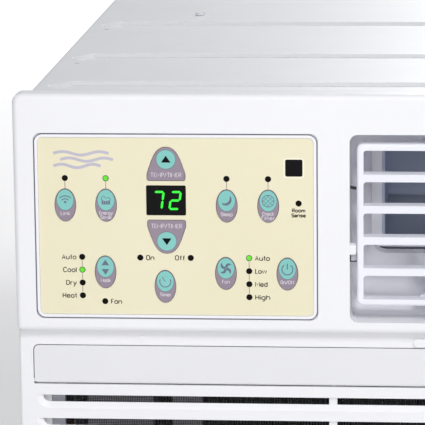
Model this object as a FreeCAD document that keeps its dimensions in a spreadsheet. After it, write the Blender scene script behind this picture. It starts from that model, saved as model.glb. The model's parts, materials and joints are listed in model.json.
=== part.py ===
"""Window air conditioner: a heat/cool room unit as an assembly of separate pieces.

Frame: X runs left to right as the user faces the unit, Y runs from the room side (front,
-Y) to the outdoor side (+Y), Z is up.  The origin is the centre of the footprint on the
surface that the unit stands on.  All sizes are millimetres.
"""
import FreeCAD, Part
import math
import os
import Sketcher

from FreeCAD import Placement, Rotation, Vector

SIZES = {
    # overall
    "unit_width": 616, "unit_depth": 576, "unit_height": 382,
    "seat_gap": 0.2, "clear_gap": 0.4, "bearing_gap": 0.06,
    # front panel
    "panel_wall": 2.5, "panel_depth": 16, "panel_floor": 2, "panel_corner": 7,
    "panel_edge": 4, "upper_height": 174, "step_depth": 10,
    "rim_plate": 2, "skirt_wall": 2, "skirt_depth": 20, "skirt_gap": 0.5,
    # intake slots
    "slot_drop": 8.8, "slot_pitch": 17.7, "slot_opening": 5.6, "slot_lip": 4.6,
    "slot_lip_depth": 2, "slot_inset": 17, "slot_corner": 4.5, "divider_offset": 78.5,
    "divider_width": 5.8, "divider_depth": 5, "slot_floor": 20,
    # filter door and filter
    "door_drop": 13.2, "door_height": 28.5, "door_inset": 11, "door_gap": 0.7,
    "door_thickness": 4, "door_corner": 3.5, "door_hole_corner": 1.2,
    "door_pin_radius": 1.5, "door_pin_length": 3.5,
    "door_boss": 5, "catch_width": 40, "catch_height": 6, "catch_proud": 2, "pip_offset": 217,
    "pip_size": 4, "pip_above_door": 6,
    "filter_thickness": 7, "filter_behind": 8.2, "filter_inset": 20, "filter_bottom": 8,
    "filter_drop": 18, "filter_border": 12, "filter_mesh_thickness": 0.8,
    "filter_rib": 3,
    # outlet and louvres
    "outlet_left": 242, "outlet_right": 16, "outlet_top": 28.7, "outlet_height": 137.1,
    "outlet_corner": 6, "outlet_depth": 26, "louver_gap": 5, "louver_top_gap": 7.1,
    "louver_bottom_gap": 11.9, "louver_setback": 3, "louver_depth": 12, "louver_border": 4.8,
    "louver_bar": 5.5, "louver_bars": 4, "louver_corner": 4.5, "mullion_width": 3,
    "louver_edge": 2, "louver_window_top": 2.2, "louver_window_low": 0.4,
    "pivot_height": 53.2, "pivot_radius": 3.5, "pivot_reach": 2.2,
    "vane_pitch": 31, "vane_thickness": 1.6, "vane_front": 6, "vane_back": 16,
    "vane_setback": 8, "vane_pin_radius": 1.5, "link_radius": 12, "link_pin_radius": 1.3,
    "link_width": 7, "link_thickness": 2.2, "ledge_depth": 13, "ledge_height": 5,
    "vane_end_gap": 1.5, "link_slot_slack": 0.35, "link_slot_travel": 2.4,
    # control panel
    "control_left": 15.5, "control_width": 203.4, "control_top": 28.8, "control_height": 135.2,
    "control_corner": 5, "control_gap": 0.5, "control_rim": 2.5, "film_recess": 0.6,
    "film_thickness": 0.5, "control_plate": 3.6, "control_flange": 3.5, "flange_thickness": 2,
    "oval_width": 15, "oval_height": 23.6, "button_proud": 0.45, "button_gap": 0.35,
    "button_travel": 0.8, "stem_radius": 3, "dome_width": 27.3, "dome_height": 24.2,
    "dome_lead": 4.7, "dome_corner": 1.5, "dome_inset": 15.3, "column_across": 95.1,
    "window_width": 28.3, "window_height": 21.6, "window_up": 86.9, "window_sink": 0.1,
    "window_thickness": 1.6, "digit_height": 14, "digit_width": 8.2, "digit_stroke": 1.6,
    "digit_proud": 0.15, "digit_break": 0.12, "digit_slant": 8, "digit_gap": 4.1,
    "receiver_size": 12, "lens_radius": 2.15, "lens_sink": 0.05,
    "board_gap": 9.5, "board_thickness": 1.6, "board_inset": 6, "switch_size": 6,
    "switch_height": 4, "pillar_radius": 3,
    # discharge duct
    "duct_wall": 2, "duct_floor_flat": 6, "throat_inset": 13, "throat_floor": 37.5,
    "throat_ceiling": 16, "mouth_inset": 22.5, "throat_start": 66, "throat_end": 80,
    # cabinet
    "cabinet_inset": 10, "cabinet_drop": 1.5, "cabinet_sheet": 1, "rear_flange": 14,
    "trough_depth": 2.5, "trough_draft": 1.6, "trough_margin": 9.5, "trough_cut": 14,
    "trough_far_front": 68, "trough_far_middle": 210, "trough_far_rear": 395,
    "trough_width_front": 42, "trough_width_middle": 49, "trough_width_rear": 45,
    "vent_rows": 13, "vent_pitch": 15, "vent_length": 84, "vent_height": 5, "vent_hood": 3.5,
    "vent_low": 90, "vent_first": 352, "vent_second": 452, "sill_hole_radius": 2.5,
    "sill_hole_up": 14, "sill_hole_front": 60, "sill_hole_spacing": 300,
    # base pan and partitions
    "pan_gap": 0.4, "pan_wall": 1.5, "pan_height": 22, "pan_front": 38, "pan_rear": 2,
    "drain_radius": 7, "drain_side": 250, "drain_front": 520,
    "bulkhead_at": 196, "bulkhead_sheet": 1.5, "bulkhead_margin": 3,
    # air side
    "shaft_across": 60, "shaft_lower": 23, "shaft_radius": 4, "shaft_front": 92,
    "shaft_back": 470, "wheel_radius": 84, "wheel_inner": 68, "wheel_front": 96,
    "wheel_back": 178, "wheel_blades": 30, "wheel_blade": 1.6, "wheel_disc": 2.5,
    "hub_radius": 14, "scroll_front": 88, "scroll_radius": 100, "scroll_wall": 2.5,
    "orifice_radius": 74,
    "motor_radius": 58, "motor_front": 226, "motor_length": 84, "motor_boss_radius": 20,
    "motor_boss": 10, "bracket_sheet": 2.5, "bracket_width": 130,
    "fan_room": 37, "fan_ring": 5, "fan_ring_depth": 14, "fan_front": 440,
    "fan_depth": 26, "fan_blades": 5, "fan_pitch": 28, "fan_blade": 2.2,
    "fan_hub_radius": 24, "shroud_front": 436, "shroud_sheet": 1.6,
    "shroud_gap": 7, "shroud_ring_depth": 30,
    # coils
    "evap_front": 36, "evap_depth": 34, "evap_side": 36, "evap_bottom": 27,
    "evap_drop": 8, "bend_radius": 12.5, "bend_tube": 4.75,
    "cond_front": 500, "cond_depth": 40, "cond_side": 40, "cond_bottom": 24,
    "cond_drop": 16, "tray_wall": 2, "tray_height": 17,
    "guard_wire": 2, "guard_pitch_wide": 24, "guard_pitch_tall": 26,
    # refrigerant side
    "comp_side": 103, "comp_back": 356, "comp_radius": 60, "comp_bottom": 30,
    "comp_height": 205, "comp_dome": 26, "foot_reach": 78, "foot_radius": 11,
    "foot_sheet": 3, "grommet_radius": 12, "stud_radius": 3.5,
    "accum_radius": 20, "accum_bottom": 70, "accum_height": 120, "accum_gap": 14,
    "pipe_radius": 4.75, "pipe_bend": 22, "capillary_radius": 1.6,
    # electrics
    "box_sheet": 1, "box_lift": 4, "box_drop": 10,
    "capacitor_radius": 22, "capacitor_height": 84, "heater_radius": 3.2,
    "heater_rows": 3, "heater_pitch": 30, "heater_half_width": 90,
    "gland_radius": 9, "gland_bore": 4.2, "gland_flange": 13, "gland_length": 14,
    "gland_up": 60, "gland_behind": 80,
    # fasteners
    "screw_radius": 2, "screw_head": 4, "screw_head_height": 2, "screw_length": 8,
    "top_screw_across": -211, "top_screw_back": 436, "side_screw_up": 200,
}

# sizes that follow from the ones above, kept in the same sheet
DERIVED = {
    "door_bottom": "=unit_height - upper_height - door_drop - door_height",
    "slot_top": "=door_bottom - slot_drop",
    "filter_top": "=unit_height - upper_height - filter_drop",
    "evap_half_width": "=unit_width / 2 - evap_side",
    "evap_top": "=unit_height - upper_height - evap_drop",
    "cond_half_width": "=unit_width / 2 - cond_side",
    "cond_top": "=unit_height - cond_drop",
    "shaft_up": "=(cond_bottom + cond_top) / 2 - shaft_lower",
    "fan_radius": "=(cond_top - cond_bottom) / 2 - fan_room",
    "comp_across": "=comp_side - unit_width / 2",
    "box_bottom": "=unit_height - upper_height + box_lift",
    "box_top": "=unit_height - box_drop",
}

# centre of each oval button on the control panel: from its left edge, from its bottom edge
OVAL_BUTTONS = {
    "button_connect": (22.0, 83.1), "button_energy": (51.5, 83.1),
    "button_sleep": (138.5, 83.1), "button_filter": (168.3, 83.1),
    "button_mode": (50.3, 34.0), "button_timer": (93.6, 23.7),
    "button_fan": (137.5, 33.6), "button_power": (181.8, 33.5),
}
DOME_BUTTONS = {"button_up": (101.4, 1), "button_down": (72.4, -1)}
DARK_LENSES = {
    "connect": (22.0, 102.8), "sleep": (138.5, 102.8), "filter": (168.3, 102.8),
    "room": (190.1, 85.2), "auto": (33.5, 45.0), "dry": (33.5, 26.0), "heat": (33.5, 16.5),
    "fan_only": (49.7, 12.3), "timer_on": (75.7, 44.8), "timer_off": (112.2, 44.8),
    "low": (154.3, 35.4), "medium": (154.3, 25.8), "high": (154.3, 16.2),
}
LIT_LENSES = {"energy": (51.5, 102.8), "cool": (33.5, 35.5), "fan_auto": (154.3, 45.0)}
RECEIVER_PLACE = (186.8, 110.9)

doc = FreeCAD.newDocument("window_air_conditioner")
sheet = doc.addObject("Spreadsheet::Sheet", "Sizes")
NODES = []


def fill_sheet():
    """Write every driving size, and each control's place, as an aliased cell."""
    cells = dict(SIZES)
    for group in (OVAL_BUTTONS, DARK_LENSES, LIT_LENSES):
        for name, (across, up) in group.items():
            cells[name + "_across"] = across
            cells[name + "_up"] = up
    for name, (base_up, way) in DOME_BUTTONS.items():
        cells[name + "_base_up"] = base_up
        cells[name + "_way"] = way
    cells["receiver_across"], cells["receiver_up"] = RECEIVER_PLACE
    cells.update(DERIVED)
    for row, (alias, value) in enumerate(cells.items(), start=1):
        sheet.set("A%d" % row, alias)
        sheet.set("B%d" % row, str(value))
        sheet.setAlias("B%d" % row, alias)
    doc.recompute()


def size(alias):
    """Return one driving size from the sheet."""
    return float(sheet.get(alias))


# ---------------------------------------------------------------- document helpers

def bind(item, **expressions):
    """Bind properties of a document object to expressions over the sheet."""
    for prop, text in expressions.items():
        item.setExpression(prop.replace("__", "."), text)
    return item


def cell(text):
    """Prefix every known alias in a formula with the sheet's name."""
    words = []
    word = ""
    for char in text + " ":
        if char.isalnum() or char == "_":
            word += char
            continue
        words.append("Sizes." + word if word and not word[0].isdigit() else word)
        words.append(char)
        word = ""
    return "".join(words).strip()


def block(name, across, deep, up):
    """Part::Box from three pairs of formulas: X, Y and Z from lowest to highest."""
    item = doc.addObject("Part::Box", name)
    pairs = [(cell(low), cell(high)) for low, high in (across, deep, up)]
    bind(item, Length="(%s) - (%s)" % pairs[0][::-1], Width="(%s) - (%s)" % pairs[1][::-1],
         Height="(%s) - (%s)" % pairs[2][::-1], Placement__Base__x=pairs[0][0],
         Placement__Base__y=pairs[1][0], Placement__Base__z=pairs[2][0])
    return item


def rod(name, radius, length, start, axis="z"):
    """Part::Cylinder of a bound radius and length from a start point along an axis."""
    turn = {"x": Rotation(Vector(0, 1, 0), 90), "y": Rotation(Vector(1, 0, 0), -90),
            "z": Rotation()}[axis]
    item = doc.addObject("Part::Cylinder", name)
    item.Placement = Placement(Vector(), turn)
    bind(item, Radius=cell(radius), Height=cell(length), Placement__Base__x=cell(start[0]),
         Placement__Base__y=cell(start[1]), Placement__Base__z=cell(start[2]))
    return item


def cut(name, base, *tools):
    """Part::Cut of a base by one or more tools."""
    tool = tools[0] if len(tools) == 1 else fuse(name + "_tools", *tools)
    item = doc.addObject("Part::Cut", name)
    item.Base, item.Tool = base, tool
    return item


def fuse(name, *pieces):
    """Part::MultiFuse of several objects."""
    item = doc.addObject("Part::MultiFuse", name)
    item.Shapes = list(pieces)
    return item


def shaped(name, shape):
    """Part::Feature for a shape that sketches and primitives don't fit."""
    item = doc.addObject("Part::Feature", name)
    item.Shape = shape
    item.Placement = Placement()
    return item


def node(item, label):
    """Name an object as one of the assembly's pieces."""
    item.Label = label
    NODES.append(item)
    return item


def plane_of(body, role):
    """Return one of a body's own origin planes."""
    return next(f for f in body.Origin.OriginFeatures if f.Role == role)


def rectangle_sketch(body, name, role, low, high, lift):
    """Sketch a rectangle between two bound corners, lifted off an origin plane."""
    sketch = body.newObject("Sketcher::SketchObject", name)
    sketch.AttachmentSupport = [(plane_of(body, role), "")]
    sketch.MapMode = "FlatFace"
    corners = [Vector(1, 1, 0), Vector(9, 1, 0), Vector(9, 9, 0), Vector(1, 9, 0)]
    for first, last in zip(corners, corners[1:] + corners[:1]):
        sketch.addGeometry(Part.LineSegment(first, last), False)
    rules = [Sketcher.Constraint("Coincident", i, 2, (i + 1) % 4, 1) for i in range(4)]
    rules += [Sketcher.Constraint("Horizontal", i) for i in (0, 2)]
    rules += [Sketcher.Constraint("Vertical", i) for i in (1, 3)]
    for rule in rules:
        sketch.addConstraint(rule)
    bounds = (("DistanceX", 0, 1, low[0]), ("DistanceY", 0, 1, low[1]),
              ("DistanceX", 1, 2, high[0]), ("DistanceY", 2, 2, high[1]))
    for kind, edge, end, formula in bounds:
        index = sketch.addConstraint(Sketcher.Constraint(kind, -1, 1, edge, end, 5.0))
        sketch.setExpression("Constraints[%d]" % index, cell(formula))
    sketch.setExpression("AttachmentOffset.Base.z", cell(lift))
    return sketch


def plate(name, across, deep, up, corner=None):
    """PartDesign body: a padded rectangle in the XZ plane with rounded corners."""
    body = doc.addObject("PartDesign::Body", name)
    sketch = rectangle_sketch(body, name + "_outline", "XZ_Plane", (across[0], up[0]),
                              (across[1], up[1]), "-(%s)" % deep[0])
    pad = body.newObject("PartDesign::Pad", name + "_pad")
    pad.Profile = sketch
    pad.Reversed = True
    bind(pad, Length="(%s) - (%s)" % (cell(deep[1]), cell(deep[0])))
    doc.recompute()
    if corner:
        edges = ["Edge%d" % (i + 1) for i, edge in enumerate(pad.Shape.Edges)
                 if abs(edge.tangentAt(edge.FirstParameter).y) > 0.99]
        fillet = body.newObject("PartDesign::Fillet", name + "_corners")
        fillet.Base = (pad, edges)
        bind(fillet, Radius=cell(corner))
        body.Tip = fillet
    return body


# ---------------------------------------------------------------- shape helpers

def solid_box(x_low, x_high, y_low, y_high, z_low, z_high):
    """Box shape between two corners."""
    return Part.makeBox(x_high - x_low, y_high - y_low, z_high - z_low,
                        Vector(x_low, y_low, z_low))


def round_wire(x_low, x_high, z_low, z_high, y, radii):
    """Closed wire in the plane Y = y with a radius at each corner.

    The radii run from lower left, lower right, upper right to upper left.
    """
    corners = [(x_low, z_low), (x_high, z_low), (x_high, z_high), (x_low, z_high)]
    enter = [(0, 1), (-1, 0), (0, -1), (1, 0)]
    leave = [(1, 0), (0, 1), (-1, 0), (0, -1)]
    edges = []
    points = []
    for (x, z), before, after, radius in zip(corners, enter, leave, radii):
        start = Vector(x + before[0] * radius, y, z + before[1] * radius)
        end = Vector(x + after[0] * radius, y, z + after[1] * radius)
        centre = Vector(x + (before[0] + after[0]) * radius, y, z + (before[1] + after[1]) * radius)
        corner = Vector(x, y, z)
        middle = centre + (corner - centre).normalize() * radius
        points.append((start, middle, end))
    for i, (start, middle, end) in enumerate(points):
        edges.append(Part.Arc(start, middle, end).toShape())
        edges.append(Part.LineSegment(end, points[(i + 1) % 4][0]).toShape())
    return Part.Wire(edges)


def round_block(x_low, x_high, y_low, y_high, z_low, z_high, radii):
    """Block along Y with a rounded outline."""
    face = Part.Face(round_wire(x_low, x_high, z_low, z_high, y_low, radii))
    return face.extrude(Vector(0, y_high - y_low, 0))


def lofted(front_wire, back_wire):
    """Straight-sided solid between two wires of the same kind."""
    return Part.makeLoft([front_wire, back_wire], True, True)


def cylinder(radius, length, x, y, z, axis):
    """Cylinder shape from a start point along an axis vector."""
    return Part.makeCylinder(radius, length, Vector(x, y, z), Vector(*axis))


def tube_path(points, radius, bend):
    """Round bar along straight runs joined by tangent arcs."""
    path = [Vector(*p) for p in points]
    edges = []
    last = path[0]
    for before, corner, after in zip(path, path[1:], path[2:]):
        into = (corner - before).normalize()
        out = (after - corner).normalize()
        half_turn = into.getAngle(out) / 2
        trim = bend * math.tan(half_turn)
        start, end = corner - into * trim, corner + out * trim
        centre_way = (out - into).normalize()
        middle = corner + centre_way * (bend / math.cos(half_turn) - bend)
        edges.append(Part.LineSegment(last, start).toShape())
        edges.append(Part.Arc(start, middle, end).toShape())
        last = end
    edges.append(Part.LineSegment(last, path[-1]).toShape())
    wire = Part.Wire(edges)
    profile = Part.Wire(Part.makeCircle(radius, path[0], (path[1] - path[0]).normalize()))
    return wire.makePipeShell([profile], True, False)


def joined(shapes):
    """One clean solid from overlapping shapes."""
    first, rest = shapes[0], list(shapes[1:])
    return (first.fuse(rest) if rest else first).removeSplitter()


fill_sheet()

# places that several pieces share, worked out from the sheet
half_width = size("unit_width") / 2
front = -size("unit_depth") / 2
rear = size("unit_depth") / 2
top = size("unit_height")
step_up = top - size("upper_height")
lower_front = front + size("step_depth")
panel_back = front + size("panel_depth")
wall = size("panel_wall")
gap = size("clear_gap")
seat = size("seat_gap")

cabinet_half = half_width - size("cabinet_inset")
cabinet_top = top - size("cabinet_drop")
cabinet_inner = cabinet_half - size("cabinet_sheet")
skirt_half = cabinet_inner - size("skirt_gap")
skirt_top = cabinet_top - size("cabinet_sheet") - size("trough_depth") - size("skirt_gap")
skirt_back = panel_back + size("skirt_depth")

outlet_x = (-half_width + size("outlet_left"), half_width - size("outlet_right"))
outlet_z = (top - size("outlet_top") - size("outlet_height"), top - size("outlet_top"))
outlet_back = front + size("outlet_depth")
mullion_x = sum(outlet_x) / 2
louver_y = (front + size("louver_setback"), front + size("louver_setback") + size("louver_depth"))
louver_z = (outlet_z[0] + size("louver_bottom_gap"), outlet_z[1] - size("louver_top_gap"))
pivot_y = sum(louver_y) / 2
pivot_z = outlet_z[0] + size("pivot_height")
vane_y = louver_y[1] + size("vane_setback")

control_x = (-half_width + size("control_left"),
             -half_width + size("control_left") + size("control_width"))
control_z = (top - size("control_top") - size("control_height"), top - size("control_top"))
film_front = front + size("film_recess")
film_back = film_front + size("film_thickness")
plate_back = film_back + size("control_plate")
board_front = plate_back + size("board_gap")
button_front = film_front - size("button_proud")
stem_end = board_front - size("switch_height") - size("button_travel") - seat

door_z = (size("door_bottom"), size("door_bottom") + size("door_height"))
door_half = half_width - size("door_inset")
door_axis_z = door_z[0] + size("door_thickness") / 2
door_axis_y = lower_front + size("door_thickness") / 2
filter_y = (lower_front + size("filter_behind"),
            lower_front + size("filter_behind") + size("filter_thickness"))
filter_half = half_width - size("filter_inset")

shaft_x, shaft_z = size("shaft_across"), size("shaft_up")
bulkhead_y = front + size("bulkhead_at")


# ---------------------------------------------------------------- front panel

def slot_rows():
    """Top of each row of intake slots, from the door down to the lowest that has room."""
    used = size("slot_opening") + size("slot_lip") + size("slot_floor")
    count = int((size("slot_top") - used) / size("slot_pitch")) + 1
    return [size("slot_top") - row * size("slot_pitch") for row in range(count)]


def slot_cutter(top_z):
    """One row of the intake: a long opening with a scooped lower lip and rounded low ends."""
    lip, corner = size("slot_lip"), size("slot_corner")
    low_z = top_z - size("slot_opening")
    half = half_width - size("slot_inset")
    lip_back = lower_front + size("slot_lip_depth")
    tiny = 0.3
    outer = round_wire(-half - lip, half + lip, low_z - lip, top_z, lower_front,
                       (corner + lip, corner + lip, tiny, tiny))
    inner = round_wire(-half, half, low_z, top_z, lip_back, (corner, corner, tiny, tiny))
    scoop = lofted(outer, inner)
    through = round_block(-half, half, lip_back, panel_back, low_z, top_z,
                          (corner, corner, tiny, tiny))
    return [scoop, through]


def slot_posts():
    """Upright posts behind the slots, which part each row into three openings."""
    half = size("divider_width") / 2
    y_low = lower_front + size("slot_lip_depth")
    rows = slot_rows()
    return [solid_box(x - half, x + half, y_low, y_low + size("divider_depth"),
                      rows[-1] - size("slot_opening") - 1, rows[0] + 1)
            for x in (-size("divider_offset"), size("divider_offset"))]


def panel_shell():
    """Hollow moulding: deep upper section, stepped-back lower section, rear rim and skirt."""
    corner, edge = size("panel_corner"), size("panel_edge")
    floor = size("panel_floor")
    small = corner / 2
    upper = round_block(-half_width, half_width, front, panel_back, step_up, top,
                        (small, small, corner, corner))
    lower = round_block(-half_width, half_width, lower_front, panel_back, floor,
                        step_up + corner, (corner, corner, small, small))
    upper = upper.makeFillet(edge, [e for e in upper.Edges
                                    if abs(e.BoundBox.YMin - front) < 1e-6
                                    and e.BoundBox.YLength < 1e-6])
    lower = lower.makeFillet(edge / 2, [e for e in lower.Edges
                                        if abs(e.BoundBox.YMin - lower_front) < 1e-6
                                        and e.BoundBox.YLength < 1e-6])
    hollow_upper = round_block(-half_width + wall, half_width - wall, front + wall, panel_back,
                               step_up + wall, top - wall, (small, small, small, small))
    hollow_lower = round_block(-half_width + wall, half_width - wall, lower_front + wall,
                               panel_back, floor + wall, step_up + wall + corner,
                               (small, small, small, small))
    shell = joined([upper, lower]).cut([hollow_upper, hollow_lower])
    skirt_in = skirt_half - size("skirt_wall")
    skirt_low = floor + wall
    rim = round_block(-half_width + wall / 2, half_width - wall / 2,
                      panel_back - size("rim_plate"), panel_back, floor + wall / 2,
                      top - wall / 2, (corner - wall / 2,) * 4)
    skirt = solid_box(-skirt_half, skirt_half, panel_back - size("rim_plate"), skirt_back,
                      skirt_low, skirt_top)
    inside = solid_box(-skirt_in, skirt_in, front, skirt_back, skirt_low + size("skirt_wall"),
                       skirt_top - size("skirt_wall"))
    return joined([shell, rim.fuse(skirt).cut(inside)])


def front_panel():
    """The room-side moulding with its control opening, outlet recess, door and slots."""
    shell = panel_shell()
    corner = size("outlet_corner")
    recess_wall = round_block(outlet_x[0] - wall, outlet_x[1] + wall, front + wall / 2,
                              outlet_back, outlet_z[0] - wall, outlet_z[1] + wall,
                              (corner + wall,) * 4)
    recess = round_block(outlet_x[0], outlet_x[1], front - 1, outlet_back, outlet_z[0],
                         outlet_z[1], (corner,) * 4)
    half_mullion = size("mullion_width") / 2
    mullion = solid_box(mullion_x - half_mullion, mullion_x + half_mullion, louver_y[0],
                        outlet_back, outlet_z[0] - wall / 2, outlet_z[1] + wall / 2)
    bearing_length = outlet_x[1] - outlet_x[0] + 2 * wall
    bearing = cylinder(size("pivot_radius") + size("bearing_gap"), bearing_length + 2,
                       outlet_x[0] - wall - 1, pivot_y, pivot_z, (1, 0, 0))
    notch_deep, notch_low = size("pivot_radius"), size("pivot_radius") * 3.4
    notches = [solid_box(x - 1, x + 1, pivot_y - notch_deep, pivot_y + notch_deep,
                         pivot_z - notch_low, pivot_z) for x in outlet_x]
    slack = size("control_gap")
    control_hole = round_block(control_x[0] - slack, control_x[1] + slack, front - 1,
                               panel_back - size("rim_plate"), control_z[0] - slack,
                               control_z[1] + slack, (size("control_corner") + slack,) * 4)
    door_slack = size("door_gap")
    door_hole = round_block(-door_half - door_slack, door_half + door_slack, lower_front - 1,
                            panel_back, door_z[0] - door_slack, door_z[1] + door_slack,
                            (size("door_hole_corner"),) * 2
                            + (size("door_corner") + door_slack,) * 2)
    cutters = []
    for top_z in slot_rows():
        cutters += slot_cutter(top_z)
    body = shell.cut([recess, control_hole, door_hole] + cutters)
    body = joined([body, recess_wall.cut(recess), mullion] + slot_posts())
    bosses, holes = door_bosses()
    body = joined([body] + bosses + door_stop() + catches() + filter_guides())
    return body.cut([bearing] + holes + notches)


def door_bosses():
    """Blocks beside the filter door that carry its two hinge pins."""
    slack, boss = size("door_gap"), size("door_boss")
    reach = size("door_pin_length") + slack
    blocks, holes = [], []
    for side in (-1, 1):
        near = side * (door_half + slack)
        far = side * (door_half + slack + boss)
        blocks.append(solid_box(min(near, far), max(near, far), lower_front + wall / 2,
                                panel_back - size("rim_plate") / 2, door_axis_z - boss,
                                door_axis_z + boss))
        start = near - side * 1
        holes.append(cylinder(size("door_pin_radius") + size("bearing_gap"), reach + 1, start,
                              door_axis_y, door_axis_z, (side, 0, 0)))
    return blocks, holes


def door_stop():
    """Rib behind the door's upper edge that it closes against."""
    back = lower_front + size("door_thickness") + seat
    return [solid_box(-door_half, door_half, back, panel_back, door_z[1] - wall,
                      door_z[1] + 2 * wall)]


def catches():
    """Raised catch at the middle above the door and a pip at each side."""
    proud, high = size("catch_proud"), size("catch_height")
    pip, offset = size("pip_size"), size("pip_offset")
    low = door_z[1] + size("door_gap") + 1
    half = size("catch_width") / 2
    shapes = [round_block(-half, half, lower_front - proud, lower_front + wall / 2, low,
                          low + high, (high / 2.2,) * 4)]
    up = door_z[1] + size("pip_above_door")
    for side in (-1, 1):
        shapes.append(round_block(side * offset - pip / 2, side * offset + pip / 2,
                                  lower_front - proud / 2, lower_front + wall / 2,
                                  up - pip / 2, up + pip / 2, (pip / 2.5,) * 4))
    return shapes


def filter_guides():
    """Channels on the skirt's inner sides and floor that the air filter slides in."""
    inner = skirt_half - size("skirt_wall") / 2
    shapes = []
    for side in (-1, 1):
        for y_low in (filter_y[0] - gap - wall, filter_y[1] + gap):
            x_pair = sorted((side * (filter_half - wall), side * inner))
            shapes.append(solid_box(x_pair[0], x_pair[1], y_low, y_low + wall,
                                    size("panel_floor") + wall, step_up - 2 * wall))
    rest = size("filter_bottom") - seat
    shapes.append(solid_box(-skirt_half + 1, skirt_half - 1, panel_back - 1, skirt_back,
                            size("panel_floor") + wall, rest))
    return shapes


def filter_door():
    """Long flap above the slots, hinged on two pins along its lower edge."""
    thick = size("door_thickness")
    slab = solid_box(-door_half, door_half, lower_front, lower_front + thick, door_axis_z,
                     door_z[1])
    nose = cylinder(thick / 2, 2 * door_half, -door_half, door_axis_y, door_axis_z, (1, 0, 0))
    outline = round_block(-door_half, door_half, lower_front - 1, lower_front + thick + 1,
                          door_z[0], door_z[1], (size("door_corner"),) * 4)
    flap = joined([slab, nose]).common(outline)
    reach = size("door_pin_length") + size("door_gap")
    inset = size("door_corner")
    pins = [cylinder(size("door_pin_radius"), reach + inset, side * (door_half - inset),
                     door_axis_y, door_axis_z, (side, 0, 0)) for side in (-1, 1)]
    return joined([flap] + pins)


def filter_frame():
    """Open frame with cross ribs that carries the filter mesh."""
    border, rib = size("filter_border"), size("filter_rib")
    low, high = size("filter_bottom"), size("filter_top")
    frame = solid_box(-filter_half, filter_half, filter_y[0], filter_y[1], low, high)
    pane = solid_box(-filter_half + border, filter_half - border, filter_y[0] - 1,
                     filter_y[1] + 1, low + border, high - border)
    mesh_front = filter_y[1] - size("filter_mesh_thickness") - seat
    ribs = []
    for side in (-1, 1):
        x = side * size("divider_offset")
        ribs.append(solid_box(x - rib / 2, x + rib / 2, filter_y[0], mesh_front - seat,
                              low + border / 2, high - border / 2))
    middle = (low + high) / 2
    ribs.append(solid_box(-filter_half + border / 2, filter_half - border / 2, filter_y[0],
                          mesh_front - seat, middle - rib / 2, middle + rib / 2))
    return joined([frame.cut(pane)] + ribs)


def build_front():
    """Front panel, filter door, filter frame and filter mesh."""
    node(shaped("FrontPanel", front_panel()), "front_panel")
    node(shaped("FilterDoor", filter_door()), "filter_door")
    node(shaped("FilterFrame", filter_frame()), "air_filter_frame")
    edge = "(unit_width / 2 - filter_inset - filter_border - seat_gap)"
    back = "(step_depth - unit_depth / 2 + filter_behind + filter_thickness)"
    mesh = block("FilterMesh", ("-" + edge, edge),
                 (back + " - filter_mesh_thickness", back),
                 ("filter_bottom + filter_border + seat_gap",
                  "filter_top - filter_border - seat_gap"))
    node(mesh, "air_filter_mesh")


# ---------------------------------------------------------------- louvres

def louver_frame(x_low, x_high):
    """Tilting cassette: rounded frame, cross bars, end pivots and rear ledges for the vanes."""
    border, bar = size("louver_border"), size("louver_bar")
    z_low, z_high = louver_z
    y_low, y_high = louver_y
    outer = round_block(x_low, x_high, y_low, y_high, z_low, z_high,
                        (size("louver_corner"),) * 4)
    outer = outer.makeFillet(size("louver_edge"),
                             [e for e in outer.Edges if abs(e.BoundBox.YMin - y_low) < 1e-6
                              and e.BoundBox.YLength < 1e-6])
    bars = int(size("louver_bars"))
    clear = (z_high - z_low - 2 * border - bars * bar) / (bars + 1)
    corners = (size("louver_window_low"),) * 2 + (size("louver_window_top"),) * 2
    windows = []
    for i in range(bars + 1):
        low = z_low + border + i * (clear + bar)
        windows.append(round_block(x_low + border, x_high - border, y_low - 1, y_high + 1, low,
                                   low + clear, corners))
    reach = size("louver_gap") + size("pivot_reach")
    inset = 3
    pins = [cylinder(size("pivot_radius"), reach + inset, x_low + inset, pivot_y, pivot_z,
                     (-1, 0, 0)),
            cylinder(size("pivot_radius"), size("louver_gap") + size("mullion_width") / 2 - seat
                     + inset, x_high - inset, pivot_y, pivot_z, (1, 0, 0))]
    if x_low > mullion_x:
        pins = [cylinder(size("pivot_radius"), reach + inset, x_high - inset, pivot_y, pivot_z,
                         (1, 0, 0)),
                cylinder(size("pivot_radius"), size("louver_gap") + size("mullion_width") / 2
                         - seat + inset, x_low + inset, pivot_y, pivot_z, (-1, 0, 0))]
    ledge = size("ledge_height")
    ledge_back = y_high + size("ledge_depth")
    middle = (x_low + x_high) / 2
    half = size("vane_pitch") + size("link_width")
    ledges = [solid_box(middle - half, middle + half, y_high - 1, ledge_back, low, low + ledge)
              for low in (z_low + 0.4, z_high - ledge - 0.4)]
    holes = [cylinder(size("vane_pin_radius") + size("bearing_gap"), z_high - z_low, x, vane_y,
                      z_low + 1.5, (0, 0, 1)) for x in vane_places(x_low, x_high)]
    return joined([outer.cut(windows)] + pins + ledges).cut(holes)


def vane_places(x_low, x_high):
    """X of the three vertical vanes of one cassette."""
    middle = (x_low + x_high) / 2
    return [middle + i * size("vane_pitch") for i in (-1, 0, 1)]


def vane_span():
    """Lowest and highest Z of a vane's blade, between the ledges."""
    ledge = size("ledge_height") + 0.4 + size("vane_end_gap") / 2
    return louver_z[0] + ledge, louver_z[1] - ledge


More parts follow.
